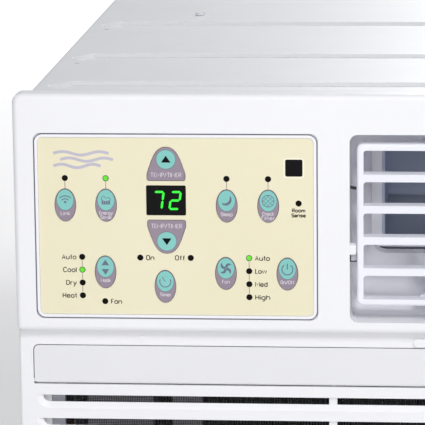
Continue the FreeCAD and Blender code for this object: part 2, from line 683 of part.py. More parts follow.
def vane(x, with_tab):
    """Vertical vane: tapered blade, two pivot pins, a link pin, and a finger tab on one."""
    low, high = vane_span()
    half = size("vane_thickness") / 2
    y_front, y_back = vane_y - size("vane_front"), vane_y + size("vane_back")
    blade = solid_box(x - half, x + half, y_front, y_back, low, high)
    spine = cylinder(size("vane_pin_radius") + 0.5, high - low, x, vane_y, low, (0, 0, 1))
    pin_reach = size("ledge_height")
    bottom = louver_z[0] + 2
    pivot = cylinder(size("vane_pin_radius"), high - bottom + pin_reach, x, vane_y, bottom,
                     (0, 0, 1))
    link = cylinder(size("link_pin_radius"), size("vane_end_gap") + size("link_thickness") + 1.6,
                    x, vane_y + size("link_radius"), high - 1, (0, 0, 1))
    pieces = [blade, spine, pivot, link]
    if with_tab:
        border, bar, bars = size("louver_border"), size("louver_bar"), int(size("louver_bars"))
        clear = (louver_z[1] - louver_z[0] - 2 * border - bars * bar) / (bars + 1)
        tab_low = louver_z[0] + border + 2 * (clear + bar) + clear * 0.3
        pieces.append(solid_box(x - half, x + half, louver_y[0] + 2, y_front + 1, tab_low,
                                tab_low + clear * 0.4))
    return joined(pieces)


def vane_link(x_low, x_high):
    """Flat bar that ties the three vanes together through slotted holes."""
    places = vane_places(x_low, x_high)
    half = size("link_width") / 2
    y = vane_y + size("link_radius")
    low = vane_span()[1] + size("vane_end_gap") / 2
    high = low + size("link_thickness")
    slot_half = size("link_pin_radius") + size("link_slot_slack")
    travel = size("link_slot_travel")
    bar = solid_box(places[0] - half, places[-1] + half, y - half - travel / 2,
                    y + half - travel / 2, low, high)
    slots = []
    for x in places:
        ends = [cylinder(slot_half, high - low + 2, x, y - shift, low - 1, (0, 0, 1))
                for shift in (0, travel)]
        middle = solid_box(x - slot_half, x + slot_half, y - travel, y, low - 1, high + 1)
        slots.append(joined(ends + [middle]))
    return bar.cut(slots)


def build_louvers():
    """Two tilting cassettes, each with three coupled vanes and their link."""
    gap_side, half_mullion = size("louver_gap"), size("mullion_width") / 2
    spans = {"left": (outlet_x[0] + gap_side, mullion_x - half_mullion - gap_side),
             "right": (mullion_x + half_mullion + gap_side, outlet_x[1] - gap_side)}
    for side, (x_low, x_high) in spans.items():
        title = side.capitalize()
        node(shaped("LouverFrame" + title, louver_frame(x_low, x_high)), "louver_frame_" + side)
        for i, x in enumerate(vane_places(x_low, x_high), start=1):
            node(shaped("Vane%s%d" % (title, i), vane(x, i == 2)), "vane_%s_%d" % (side, i))
        node(shaped("VaneLink" + title, vane_link(x_low, x_high)), "vane_link_" + side)


# ---------------------------------------------------------------- control panel

def on_panel(across, up):
    """Turn a place on the control panel into X and Z."""
    return control_x[0] + across, control_z[0] + up


def oval(x, z, width, height, y_low, y_high):
    """Elliptic block along Y."""
    major, minor = height / 2, width / 2
    ellipse = Part.Ellipse(Vector(0, 0, 0), major, minor)
    face = Part.Face(Part.Wire(ellipse.toShape()))
    body = face.extrude(Vector(0, 0, y_high - y_low))
    body.rotate(Vector(), Vector(0, 0, 1), 90)
    body.rotate(Vector(), Vector(1, 0, 0), -90)
    body.translate(Vector(x, y_low, z))
    return body


def dome(x, base_z, way, grow, y_low, y_high):
    """Arrow key's outline: round nose, flaring sides and a flat base with rounded corners."""
    half = size("dome_width") / 2 + grow
    start = size("dome_lead")
    tip = size("dome_height") + grow
    nose = tip - start
    flare, shoulder, shoulder_drop = 0.53, 0.71, 0.36
    corners = [Vector(-half, 0, start), Vector(-half, 0, -grow), Vector(half, 0, -grow),
               Vector(half, 0, start)]
    edges = [Part.LineSegment(a, b).toShape() for a, b in zip(corners, corners[1:])]
    for side in (1, -1):
        poles = [(side * half, start), (side * half * shoulder, tip - nose * shoulder_drop),
                 (side * half * flare, tip), (0, tip)]
        curve = Part.BezierCurve()
        curve.setPoles([Vector(px, 0, pz) for px, pz in poles[::side]])
        edges.append(curve.toShape())
    body = Part.Face(Part.Wire(edges)).extrude(Vector(0, y_high - y_low, 0))
    body = body.makeFillet(size("dome_corner") + grow,
                           [e for e in body.Edges if abs(e.BoundBox.ZMax + grow) < 1e-6
                            and e.BoundBox.XLength < 1e-6])
    if way < 0:
        body.rotate(Vector(), Vector(0, 1, 0), 180)
    body.translate(Vector(x, y_low, base_z))
    return body


def button_outline(name, grow, y_low, y_high):
    """Outline block of one button, grown by a clearance."""
    if name in DOME_BUTTONS:
        x, base_z = on_panel(size("column_across"), size(name + "_base_up"))
        return dome(x, base_z, size(name + "_way"), grow, y_low, y_high)
    x, z = on_panel(size(name + "_across"), size(name + "_up"))
    return oval(x, z, size("oval_width") + 2 * grow, size("oval_height") + 2 * grow, y_low,
                y_high)


def button_centre(name):
    """X and Z where a button's stem stands."""
    if name in DOME_BUTTONS:
        shift = size(name + "_way") * size("dome_inset")
        return on_panel(size("column_across"), size(name + "_base_up") + shift)
    return on_panel(size(name + "_across"), size(name + "_up"))


def button(name):
    """Button cap with a guide skirt behind it and a stem that meets its switch."""
    cap = button_outline(name, 0, button_front, plate_back + 1)
    x, z = button_centre(name)
    stem = cylinder(size("stem_radius"), stem_end - plate_back, x, plate_back, z, (0, 1, 0))
    cap_edges = [e for e in cap.Edges if abs(e.BoundBox.YMin - button_front) < 1e-6
                 and e.BoundBox.YLength < 1e-6]
    cap = cap.makeFillet(0.3, cap_edges)
    return joined([cap, stem])


def panel_openings(y_low, y_high):
    """Every opening through the control panel: buttons, lenses, window and receiver."""
    slack = size("button_gap")
    shapes = [button_outline(name, slack, y_low, y_high)
              for name in list(OVAL_BUTTONS) + list(DOME_BUTTONS)]
    for name in list(DARK_LENSES) + list(LIT_LENSES):
        x, z = on_panel(size(name + "_across"), size(name + "_up"))
        shapes.append(cylinder(size("lens_radius") + seat / 2, y_high - y_low, x, y_low, z,
                               (0, 1, 0)))
    shapes.append(window_block(seat, y_low, y_high))
    shapes.append(receiver_block(seat, y_low, y_high))
    return shapes


def window_block(grow, y_low, y_high):
    """Block of the display window's outline."""
    x, z = on_panel(size("column_across") - 0.2, size("window_up"))
    half_x, half_z = size("window_width") / 2 + grow, size("window_height") / 2 + grow
    return round_block(x - half_x, x + half_x, y_low, y_high, z - half_z, z + half_z,
                       (1 + grow,) * 4)


def receiver_block(grow, y_low, y_high):
    """Block of the remote receiver window's outline."""
    x, z = on_panel(size("receiver_across"), size("receiver_up"))
    half = size("receiver_size") / 2 + grow
    return round_block(x - half, x + half, y_low, y_high, z - half, z + half,
                       (1 + grow,) * 4)


def control_bezel():
    """Control panel moulding: rim, film bed, rear flange and pillars for the board."""
    corner = size("control_corner")
    rim = size("control_rim")
    plate_shape = round_block(control_x[0], control_x[1], front, plate_back, control_z[0],
                              control_z[1], (corner,) * 4)
    bed = round_block(control_x[0] + rim, control_x[1] - rim, front - 1, film_back,
                      control_z[0] + rim, control_z[1] - rim, (corner - rim / 2,) * 4)
    reach = size("control_flange")
    flange_front = front + wall + seat
    flange = round_block(control_x[0] - reach, control_x[1] + reach, flange_front,
                         flange_front + size("flange_thickness"), control_z[0] - reach,
                         control_z[1] + reach, (corner + reach,) * 4)
    inset = size("board_inset") + size("pillar_radius")
    pillars = []
    for x in (control_x[0] + inset, control_x[1] - inset):
        for z in (control_z[0] + inset, control_z[1] - inset):
            pillars.append(cylinder(size("pillar_radius"), board_front - seat - plate_back + 1,
                                    x, plate_back - 1, z, (0, 1, 0)))
    body = joined([plate_shape, flange] + pillars)
    return body.cut([bed] + panel_openings(film_back - 1, plate_back + 1))


def digit_segments(number):
    """Which of the seven bars a digit lights: top, upper right, lower right, bottom ..."""
    return {7: "abc", 2: "abged"}[number]


def digit_bars(number, x, z):
    """Solids of one seven-bar digit, with mitred bars, its lower left corner at x, z."""
    half = size("digit_stroke") / 2
    left, right = half, size("digit_width") - half
    low, middle, high = half, size("digit_height") / 2, size("digit_height") - half
    bars = {"a": ((left, high), (right, high)), "g": ((left, middle), (right, middle)),
            "d": ((left, low), (right, low)), "b": ((right, middle), (right, high)),
            "c": ((right, low), (right, middle)), "f": ((left, middle), (left, high)),
            "e": ((left, low), (left, middle))}
    y_back = film_front - size("window_sink") - 0.02
    y_face = y_back - size("digit_proud")
    slant = math.tan(math.radians(size("digit_slant")))
    spare = size("digit_break")
    solids = []
    for key in digit_segments(number):
        start, end = Vector(*bars[key][0], 0), Vector(*bars[key][1], 0)
        along = (end - start).normalize()
        across = Vector(-along.y, along.x, 0) * half
        start, end = start + along * spare, end - along * spare
        inset = along * half
        outline = [start, start + inset + across, end - inset + across, end,
                   end - inset - across, start + inset - across]
        points = [Vector(x + v.x + v.y * slant, y_face, z + v.y) for v in outline]
        face = Part.Face(Part.makePolygon(points + points[:1]))
        solids.append(face.extrude(Vector(0, y_back - y_face, 0)))
    return solids


def display_digits():
    """The two lit digits on the display window."""
    x, z = on_panel(size("column_across") - 0.2, size("window_up"))
    pitch = size("digit_width") + size("digit_gap")
    slant = math.tan(math.radians(size("digit_slant"))) * size("digit_height")
    start = x - (pitch + size("digit_width") + slant) / 2 + 0.4
    low = z - size("digit_height") / 2
    return Part.makeCompound(digit_bars(7, start, low) + digit_bars(2, start + pitch, low))


def lenses(places):
    """Round indicator lenses as one group of solids."""
    y_low = film_front + size("lens_sink")
    solids = []
    for name in places:
        x, z = on_panel(size(name + "_across"), size(name + "_up"))
        solids.append(cylinder(size("lens_radius"), plate_back - y_low, x, y_low, z, (0, 1, 0)))
    return Part.makeCompound(solids)


def build_controls():
    """Control panel moulding, printed film, buttons, lenses, display and board."""
    node(shaped("ControlBezel", control_bezel()), "control_bezel")
    rim = size("control_rim") + seat
    film = round_block(control_x[0] + rim, control_x[1] - rim, film_front, film_back,
                       control_z[0] + rim, control_z[1] - rim,
                       (size("control_corner") - rim / 2,) * 4)
    film = film.cut(panel_openings(film_front - 1, film_back + 1))
    node(shaped("ControlFilm", film), "control_overlay")
    window_front = film_front - size("window_sink")
    window = window_block(0, window_front, window_front + size("window_thickness"))
    node(shaped("DisplayWindow", window), "display_window")
    node(shaped("DisplayDigits", display_digits()), "display_digits")
    receiver = receiver_block(0, film_front, plate_back)
    node(shaped("ReceiverWindow", receiver), "receiver_window")
    node(shaped("LensesDark", lenses(DARK_LENSES)), "indicator_lenses_dark")
    node(shaped("LensesLit", lenses(LIT_LENSES)), "indicator_lenses_lit")
    for name in list(OVAL_BUTTONS) + list(DOME_BUTTONS):
        title = "".join(word.capitalize() for word in name.split("_"))
        node(shaped(title, button(name)), name)
    inset = "board_inset"
    left = "control_left - unit_width / 2"
    base = "unit_height - control_top"
    board_y = ("film_recess - unit_depth / 2 + film_thickness + control_plate + board_gap")
    board = plate("ControlBoard",
                  ("%s + %s" % (left, inset), "%s + control_width - %s" % (left, inset)),
                  (board_y, board_y + " + board_thickness"),
                  ("%s - control_height + %s" % (base, inset), "%s - %s" % (base, inset)),
                  "pillar_radius")
    node(board, "control_board")
    switches = []
    half = size("switch_size") / 2
    for name in list(OVAL_BUTTONS) + list(DOME_BUTTONS):
        x, z = button_centre(name)
        can = solid_box(x - half, x + half, board_front - size("switch_height") / 2,
                        board_front, z - half, z + half)
        plunger = cylinder(half / 2, size("switch_height") / 2 + 0.2, x,
                           board_front - size("switch_height"), z, (0, 1, 0))
        switches.append(joined([can, plunger]))
    node(shaped("TactSwitches", Part.makeCompound(switches)), "tact_switches")


# ---------------------------------------------------------------- air path

def duct_section(x_inset, z_low, z_high, y, corner, grow):
    """Rounded outline of the duct at one depth, grown by its wall."""
    return round_wire(outlet_x[0] + x_inset - grow, outlet_x[1] - x_inset + grow, z_low - grow,
                      z_high + grow, y, (corner + grow,) * 4)


def throat_span():
    """Lowest and highest Z of the duct's throat."""
    return outlet_z[0] + size("throat_floor"), outlet_z[1] - size("throat_ceiling")


def discharge_duct():
    """Tapered duct from the blower's throat to the outlet recess."""
    thin = size("duct_wall")
    y_front = outlet_back + seat
    y_knee = y_front + size("duct_floor_flat")
    y_throat = front + size("throat_start")
    y_end = front + size("throat_end")
    low, high = throat_span()
    side, corner = size("throat_inset"), size("outlet_corner")
    sections = [(0.3, outlet_z[0] + 0.3, outlet_z[1] - 0.3, y_front, corner),
                (3, outlet_z[0] + 7, outlet_z[1] - 2, y_knee, corner + 2),
                (side, low, high, y_throat, 2 * corner),
                (side, low, high, y_end, 2 * corner)]
    outer, inner = [], []
    for first, second in zip(sections, sections[1:]):
        outer.append(lofted(duct_section(*first, thin), duct_section(*second, thin)))
        inner.append(lofted(duct_section(*first, 0), duct_section(*second, 0)))
    return joined(outer).cut(joined(inner))


def scroll_housing():
    """Blower housing: round volute, discharge chamber above it, intake orifice in front."""
    thin = size("scroll_wall")
    y_low = front + size("scroll_front")
    y_high = bulkhead_y - seat
    throat_low, throat_high = throat_span()
    x_low = outlet_x[0] + size("mouth_inset")
    x_high = outlet_x[1] - size("mouth_inset")

    def hollow(inset):
        drum = cylinder(size("scroll_radius") - inset, y_high - y_low - 2 * inset, shaft_x,
                        y_low + inset, shaft_z, (0, 1, 0))
        chamber = solid_box(x_low - thin + inset, x_high + thin - inset, y_low + inset,
                            y_high - inset, shaft_z + size("scroll_radius") * 0.55 + inset,
                            throat_high + thin - inset)
        return joined([drum, chamber])

    shell = hollow(0).cut(hollow(thin))
    orifice = cylinder(size("orifice_radius"), thin + 2, shaft_x, y_low - 1, shaft_z, (0, 1, 0))
    mouth = solid_box(x_low, x_high, y_low - 1, y_low + thin + 1, throat_low, throat_high)
    back_hole = cylinder(size("hub_radius") + 3, thin + 2, shaft_x, y_high - thin - 1, shaft_z,
                         (0, 1, 0))
    return shell.cut([orifice, mouth, back_hole])


def blower_wheel():
    """Squirrel-cage wheel: back disc, hub, forward-curved blades and a front ring."""
    y_low, y_high = front + size("wheel_front"), front + size("wheel_back")
    disc = cylinder(size("wheel_radius"), size("wheel_disc"), shaft_x,
                    y_high - size("wheel_disc"), shaft_z, (0, 1, 0))
    hub = cylinder(size("hub_radius"), 26, shaft_x, y_high - 26, shaft_z, (0, 1, 0))
    ring_in = size("wheel_inner")
    ring = cylinder(size("wheel_radius"), 4, shaft_x, y_low, shaft_z, (0, 1, 0)).cut(
        cylinder(ring_in, 6, shaft_x, y_low - 1, shaft_z, (0, 1, 0)))
    count = int(size("wheel_blades"))
    blades = []
    for i in range(count):
        blade = solid_box(ring_in + 1, size("wheel_radius") - 0.8, y_low + 1,
                          y_high - 1, 0, size("wheel_blade"))
        blade.rotate(Vector(ring_in + 1, 0, 0), Vector(0, 1, 0), 28)
        blade.rotate(Vector(), Vector(0, 1, 0), i * 360.0 / count)
        blade.translate(Vector(shaft_x, 0, shaft_z))
        blades.append(blade)
    shaft_hole = cylinder(size("shaft_radius"), 200, shaft_x, y_low - 2, shaft_z, (0, 1, 0))
    return joined([disc, hub, ring] + blades).cut(shaft_hole)


def condenser_fan():
    """Axial fan with pitched blades and a slinger ring at its tips."""
    y_low = front + size("fan_front")
    depth = size("fan_depth")
    radius = size("fan_radius")
    hub = cylinder(size("fan_hub_radius"), depth, shaft_x, y_low, shaft_z, (0, 1, 0))
    ring_y = y_low + (depth - size("fan_ring_depth")) / 2
    ring = cylinder(radius + size("fan_ring"), size("fan_ring_depth"), shaft_x, ring_y, shaft_z,
                    (0, 1, 0)).cut(cylinder(radius, size("fan_ring_depth") + 2, shaft_x,
                                            ring_y - 1, shaft_z, (0, 1, 0)))
    count = int(size("fan_blades"))
    blades = []
    root, tip = size("fan_hub_radius") - 3, radius + 1.5
    for i in range(count):
        inner_half, outer_half = 18, 34
        points = [Vector(root, 0, -inner_half), Vector(tip * 0.8, 0, -outer_half),
                  Vector(tip, 0, -outer_half * 0.4), Vector(tip, 0, outer_half * 0.5),
                  Vector(root, 0, inner_half * 0.8)]
        face = Part.Face(Part.makePolygon(points + points[:1]))
        blade = face.extrude(Vector(0, size("fan_blade"), 0))
        blade.rotate(Vector(), Vector(1, 0, 0), -size("fan_pitch") * 0.7)
        blade.rotate(Vector(), Vector(0, 1, 0), i * 360.0 / count)
        blade.translate(Vector(shaft_x, y_low + depth / 2, shaft_z))
        blades.append(blade)
    envelope = cylinder(radius + 1.5, depth, shaft_x, y_low, shaft_z, (0, 1, 0))
    trimmed = [b.common(envelope) for b in blades]
    shaft_hole = cylinder(size("shaft_radius"), 200, shaft_x, y_low - 2, shaft_z, (0, 1, 0))
    return joined([hub, ring] + trimmed).cut(shaft_hole)


def condenser_shroud():
    """Plate and ring around the axial fan, with side walls that reach the condenser."""
    y_low = front + size("shroud_front")
    y_high = front + size("cond_front") - seat
    thin = size("shroud_sheet")
    half = size("cond_half_width")
    low, high = size("cond_bottom"), size("cond_top")
    ring_in = size("fan_radius") + size("fan_ring") + size("shroud_gap")
    plate_y = y_low + size("shroud_ring_depth") - thin
    hood = solid_box(-half, half, plate_y, y_high, low, high).cut(
        solid_box(-half + thin, half - thin, plate_y + thin, y_high + 1, low + thin,
                  high - thin))
    hole = cylinder(ring_in, 200, shaft_x, y_low - 1, shaft_z, (0, 1, 0))
    ring = cylinder(ring_in + thin, size("shroud_ring_depth"), shaft_x, y_low, shaft_z,
                    (0, 1, 0)).cut(hole)
    lowest = solid_box(-half, half, y_low - 1, y_high, 0, low + 0.01)
    return joined([hood.cut(hole), ring]).cut(lowest)


def build_air_path():
    """Duct, blower, motor, shaft, axial fan and shroud."""
    node(shaped("DischargeDuct", discharge_duct()), "discharge_duct")
    node(shaped("ScrollHousing", scroll_housing()), "scroll_housing")
    node(shaped("BlowerWheel", blower_wheel()), "blower_wheel")
    node(shaped("CondenserFan", condenser_fan()), "condenser_fan")
    node(shaped("CondenserShroud", condenser_shroud()), "condenser_shroud")
    centre = ("shaft_across", "shaft_front - unit_depth / 2", "shaft_up")
    node(rod("MotorShaft", "shaft_radius - 0.02", "shaft_back - shaft_front", centre, "y"),
         "motor_shaft")
    shell = rod("MotorShell", "motor_radius", "motor_length",
                ("shaft_across", "motor_front - unit_depth / 2", "shaft_up"), "y")
    boss = rod("MotorBosses", "motor_boss_radius", "motor_length + 2 * motor_boss",
               ("shaft_across", "motor_front - motor_boss - unit_depth / 2", "shaft_up"), "y")
    bore = rod("MotorBore", "shaft_radius + bearing_gap - 0.02",
               "motor_length + 4 * motor_boss",
               ("shaft_across", "motor_front - 2 * motor_boss - unit_depth / 2", "shaft_up"),
               "y")
    node(cut("FanMotor", fuse("MotorBody", shell, boss), bore), "fan_motor")
    back = "(motor_front - unit_depth / 2)"
    upright = block("BracketUpright",
                    ("shaft_across - bracket_width / 2", "shaft_across + bracket_width / 2"),
                    (back + " - bracket_sheet - seat_gap", back + " - seat_gap"),
                    ("pan_wall + seat_gap", "shaft_up + motor_radius / 2"))
    foot = block("BracketFoot",
                 ("shaft_across - bracket_width / 2", "shaft_across + bracket_width / 2"),
                 (back + " - bracket_sheet - seat_gap", back + " + motor_length / 2"),
                 ("pan_wall + seat_gap", "pan_wall + seat_gap + bracket_sheet"))
    hole = rod("BracketHole", "motor_boss_radius + seat_gap", "4 * bracket_sheet",
               ("shaft_across", back + " - 3 * bracket_sheet", "shaft_up"), "y")
    node(cut("MotorBracket", fuse("BracketBody", upright, foot), hole), "motor_bracket")


# ---------------------------------------------------------------- cabinet and base

def trough_wire(y_near, y_far, grow, z):
    """Outline of a stamped trough: long bar with cut corners."""
    side = cabinet_half - size("trough_margin") + grow
    corner = size("trough_cut")
    near, far = y_near - grow, y_far + grow
    middle = (near + far) / 2
    points = [Vector(-side, middle + 2, z), Vector(-side, middle - 2, z),
              Vector(-side + corner, near, z), Vector(side - corner, near, z),
              Vector(side, middle - 2, z), Vector(side, middle + 2, z),
              Vector(side - corner, far, z), Vector(-side + corner, far, z)]
    return Part.makePolygon(points + points[:1])


def cabinet():
    """Wrap-around sheet cover: top, two sides, stamped troughs, side vents, rear flange."""
    sheet_t = size("cabinet_sheet")
    y_low, y_high = panel_back + seat, rear
    low = size("pan_wall")
    outer = solid_box(-cabinet_half, cabinet_half, y_low, y_high, low, cabinet_top)
    edges = [e for e in outer.Edges if e.BoundBox.YLength > 100
             and abs(e.BoundBox.ZMin - cabinet_top) < 1e-6]
    outer = outer.makeFillet(3, edges)
    inner = solid_box(-cabinet_inner, cabinet_inner, y_low - 1, y_high + 1, low - 1,
                      cabinet_top - sheet_t)
    edges = [e for e in inner.Edges if e.BoundBox.YLength > 100
             and abs(e.BoundBox.ZMin - cabinet_top + sheet_t) < 1e-6]
    inner = inner.makeFillet(3 - sheet_t, edges)
    shell = outer.cut(inner)
    flange_in = size("rear_flange")
    flange = solid_box(-cabinet_half, cabinet_half, y_high - sheet_t, y_high, low, cabinet_top)
    flange = flange.common(outer).cut(
        solid_box(-cabinet_half + flange_in, cabinet_half - flange_in, y_high - 3, y_high + 1,
                  low - 1, cabinet_top - flange_in))
    deep, draft = size("trough_depth"), size("trough_draft")
    dishes, hollows = [], []
    for place in ("front", "middle", "rear"):
        far = front + size("trough_far_" + place)
        near = far - size("trough_width_" + place)
        dishes.append(lofted(trough_wire(near, far, 0, cabinet_top - sheet_t / 2),
                             trough_wire(near, far, -draft, cabinet_top - sheet_t - deep)))
        hollows.append(lofted(trough_wire(near, far, -sheet_t / 2, cabinet_top + 0.01),
                              trough_wire(near, far, -draft - sheet_t, cabinet_top - deep)))
    body = joined([shell, flange] + dishes)
    hoods, slots = side_vents()
    body = joined([body.cut(hollows + slots)] + hoods)
    return body.cut(cabinet_holes())


def side_vents():
    """Louvred vents through both sides, each slot under its own hood."""
    hood, high, length = size("vent_hood"), size("vent_height"), size("vent_length")
    sheet_t = size("cabinet_sheet")
    hoods, slots = [], []
    for side in (-1, 1):
        for start in (size("vent_first"), size("vent_second")):
            y_low = front + start
            for row in range(int(size("vent_rows"))):
                z = size("vent_low") + row * size("vent_pitch")
                x_out = side * cabinet_half
                x_in = side * cabinet_inner
                slots.append(solid_box(min(x_in, x_out) - 1, max(x_in, x_out) + 1, y_low,
                                       y_low + length, z, z + high))
                points = [Vector(x_out - side * sheet_t, y_low - 1, z + high + 2.5),
                          Vector(x_out + side * hood, y_low - 1, z + 0.5),
                          Vector(x_out + side * (hood - 0.9), y_low - 1, z),
                          Vector(x_out - side * sheet_t, y_low - 1, z + high + 0.2)]
                face = Part.Face(Part.makePolygon(points + points[:1]))
                hoods.append(face.extrude(Vector(0, length + 2, 0)))
    return hoods, slots


def cabinet_holes():
    """Screw holes at the sill line on both sides, and the top and side fixing holes."""
    radius = size("sill_hole_radius")
    y_front = front + size("sill_hole_front")
    holes = []
    for y in (y_front, y_front + size("sill_hole_spacing")):
        for side in (-1, 1):
            holes.append(cylinder(radius, 4, side * (cabinet_half + 2), y,
                                  size("pan_height") + size("sill_hole_up"), (-side, 0, 0)))
    for x, y in top_screws():
        holes.append(cylinder(size("screw_radius") + seat, 6, x, y, cabinet_top - 4, (0, 0, 1)))
    holes += side_screw_holes()
    y, z = gland_place()
    holes.append(cylinder(size("gland_radius") + seat, 6, cabinet_inner - 2, y, z, (1, 0, 0)))
    return holes


def side_screw_holes():
    """Holes through the sides and the bulkhead's flanges for the two side screws."""
    return [cylinder(size("screw_radius") + seat, 16, side * (cabinet_half + 2),
                     bulkhead_y + 8, size("side_screw_up"), (-side, 0, 0)) for side in (-1, 1)]


def top_screws():
    """Places of the screws in the top cover."""
    y = front + size("top_screw_back")
    return [(size("top_screw_across"), y), (-size("top_screw_across"), y)]


def base_pan():
    """Galvanised drain pan that carries everything, with raised rails and a drain port."""
    thick = size("pan_wall")
    half = cabinet_inner - size("pan_gap")
    y_low, y_high = front + size("pan_front"), rear - size("pan_rear")
    high = size("pan_height")
    tray = solid_box(-half, half, y_low, y_high, 0, high).cut(
        solid_box(-half + thick, half - thick, y_low + thick, y_high - thick, thick, high + 1))
    port_y = front + size("drain_front")
    port_x = size("drain_side")
    boss = cylinder(size("drain_radius") + 3, 4, port_x, port_y, thick - 0.5, (0, 0, 1))
    hole = cylinder(size("drain_radius"), 40, port_x, port_y, -10, (0, 0, 1))
    return joined([tray, boss]).cut(hole)


def rear_guard():
    """Welded guard behind the condenser: cross bars in front of upright bars."""
    wire = size("guard_wire")
    y = rear - size("cabinet_sheet") - seat - 2 * wire
    half = cabinet_half - size("rear_flange") + 8
    low = size("pan_height") + 4
    high = cabinet_top - 12
    bars = []
    rows = int((high - low) / size("guard_pitch_tall"))
    for i in range(rows + 1):
        z = low + i * (high - low - wire) / rows
        bars.append(solid_box(-half, half, y, y + wire, z, z + wire))
    columns = int(2 * half / size("guard_pitch_wide"))
    for i in range(columns + 1):
        x = -half + i * (2 * half - wire) / columns
        bars.append(solid_box(x, x + wire, y + wire * 0.8, y + wire * 1.8, low, high))
    return joined(bars)


def bulkhead():
    """Sheet partition between the room side and the outdoor side."""
    margin = size("bulkhead_margin")
    half = cabinet_inner - margin
    y_high = bulkhead_y + size("bulkhead_sheet")
    high = cabinet_top - size("cabinet_sheet") - size("trough_depth") - margin
    sheet_body = solid_box(-half, half, bulkhead_y, y_high, size("pan_wall") + seat, high)
    foot = solid_box(-half, half, bulkhead_y, y_high + 14, size("pan_wall") + seat,
                     size("pan_wall") + seat + size("bulkhead_sheet"))
    flanges = [solid_box(min(side * half, side * (half - size("bulkhead_sheet"))),
                         max(side * half, side * (half - size("bulkhead_sheet"))),
                         bulkhead_y, y_high + 14, size("pan_wall") + seat, high)
               for side in (-1, 1)]
    passage = cylinder(size("motor_boss_radius") + 4, 10, shaft_x, bulkhead_y - 4, shaft_z,
                       (0, 1, 0))
    pipe_pass = solid_box(-half + 4, -half + 70, bulkhead_y - 2, y_high + 1, 56, 120)
    return joined([sheet_body, foot] + flanges).cut([passage, pipe_pass] + side_screw_holes())


def build_cabinet():
    """Cover, base pan, bulkhead and rear guard."""
    node(shaped("Cabinet", cabinet()), "cabinet")
    node(shaped("BasePan", base_pan()), "base_pan")
    node(shaped("Bulkhead", bulkhead()), "bulkhead")
    node(shaped("RearGuard", rear_guard()), "rear_guard")


# ---------------------------------------------------------------- coils and refrigerant side

def return_bends():
    """U-bends at both ends of each coil, as one group of separate solids."""
    tube, bend = size("bend_tube"), size("bend_radius")
    solids = []
    coils = (("evap_front", "evap_depth", "evap_half_width", "evap_bottom", "evap_top"),
             ("cond_front", "cond_depth", "cond_half_width", "cond_bottom", "cond_top"))
    for front_name, depth_name, half_name, low_name, high_name in coils:
        y = front + size(front_name) + size(depth_name) / 2
        low, high = size(low_name) + bend + tube + 2, size(high_name) - bend - tube - 2
        count = int((high - low) / (4 * bend))
        for side in (-1, 1):
            x = side * (size(half_name) + seat)
            for i in range(count + 1):
                z = low + i * (high - low) / max(count, 1)
                ring = Part.makeTorus(bend, tube, Vector(x, y, z), Vector(0, 1, 0))
                keep = solid_box(min(x, x + side * 40), max(x, x + side * 40), y - 40, y + 40,
                                 z - 60, z + 60)
                solids.append(ring.common(keep))
    return Part.makeCompound(solids)


def compressor():
    """Welded compressor can with domed ends, a mounting plate and a terminal cover."""
    x, y = size("comp_across"), front + size("comp_back")
    radius, low, high = size("comp_radius"), size("comp_bottom"), size("comp_height")
    can = cylinder(radius, high, x, y, low, (0, 0, 1))
    ends = [e for e in can.Edges if abs(e.BoundBox.ZLength) < 1e-6]
    can = can.makeFillet(size("comp_dome"), ends)
    reach = size("foot_reach")
    plate_z = low - 4
    foot_plate = solid_box(x - reach * 0.75, x + reach * 0.75, y - reach * 0.75,
                           y + reach * 0.75, plate_z, low + 6)
    foot_plate = foot_plate.makeFillet(12, [e for e in foot_plate.Edges
                                            if e.BoundBox.ZLength > 5])
    foot_plate = foot_plate.cut(solid_box(x - 200, x + 200, y - 200, y + 200,
                                          plate_z + size("foot_sheet"), low + 20))
    cone = cylinder(radius - 18, 12, x, y, plate_z + 1, (0, 0, 1))
    cover = solid_box(x - 16, x + 16, y - radius - 14, y - radius + 12, low + high * 0.55,
                      low + high * 0.8)
    holes = [cylinder(size("stud_radius") + gap, 30, fx, fy, plate_z - 10, (0, 0, 1))
             for fx, fy in foot_places()]
    return joined([can, foot_plate, cone, cover]).cut(holes)


def foot_places():
    """Centres of the compressor's rubber feet."""
    x, y = size("comp_across"), front + size("comp_back")
    offset = size("foot_reach") * 0.75 - size("foot_radius") - 1
    return [(x + sx * offset, y + sy * offset) for sx in (-1, 1) for sy in (-1, 1)]


def grommets():
    """Rubber feet and studs under the compressor plate."""
    plate_z = size("comp_bottom") - 4
    low = size("pan_wall") + seat
    solids = []
    for x, y in foot_places():
        foot = cylinder(size("grommet_radius"), plate_z - seat - low, x, y, low, (0, 0, 1))
        stud = cylinder(size("stud_radius"), plate_z + 12 - low, x, y, low, (0, 0, 1))
        solids.append(joined([foot, stud]))
    return Part.makeCompound(solids)


def accumulator_place():
    """X and Y of the suction accumulator beside the compressor."""
    x = size("comp_across") + size("comp_radius") + size("accum_gap") + size("accum_radius")
    return x, front + size("comp_back") + 8


def accumulator():
    """Suction accumulator with domed ends and a strap to the compressor."""
    x, y = accumulator_place()
    can = cylinder(size("accum_radius"), size("accum_height"), x, y, size("accum_bottom"),
                   (0, 0, 1))
    can = can.makeFillet(size("accum_radius") * 0.7,
                         [e for e in can.Edges if e.BoundBox.ZLength < 1e-6])
    strap_z = size("accum_bottom") + size("accum_height") / 2
    near = size("comp_across") + size("comp_radius") + seat + 0.3
    strap = solid_box(near, x, y - 9, y + 5, strap_z - 7, strap_z + 7)
    return joined([can, strap])


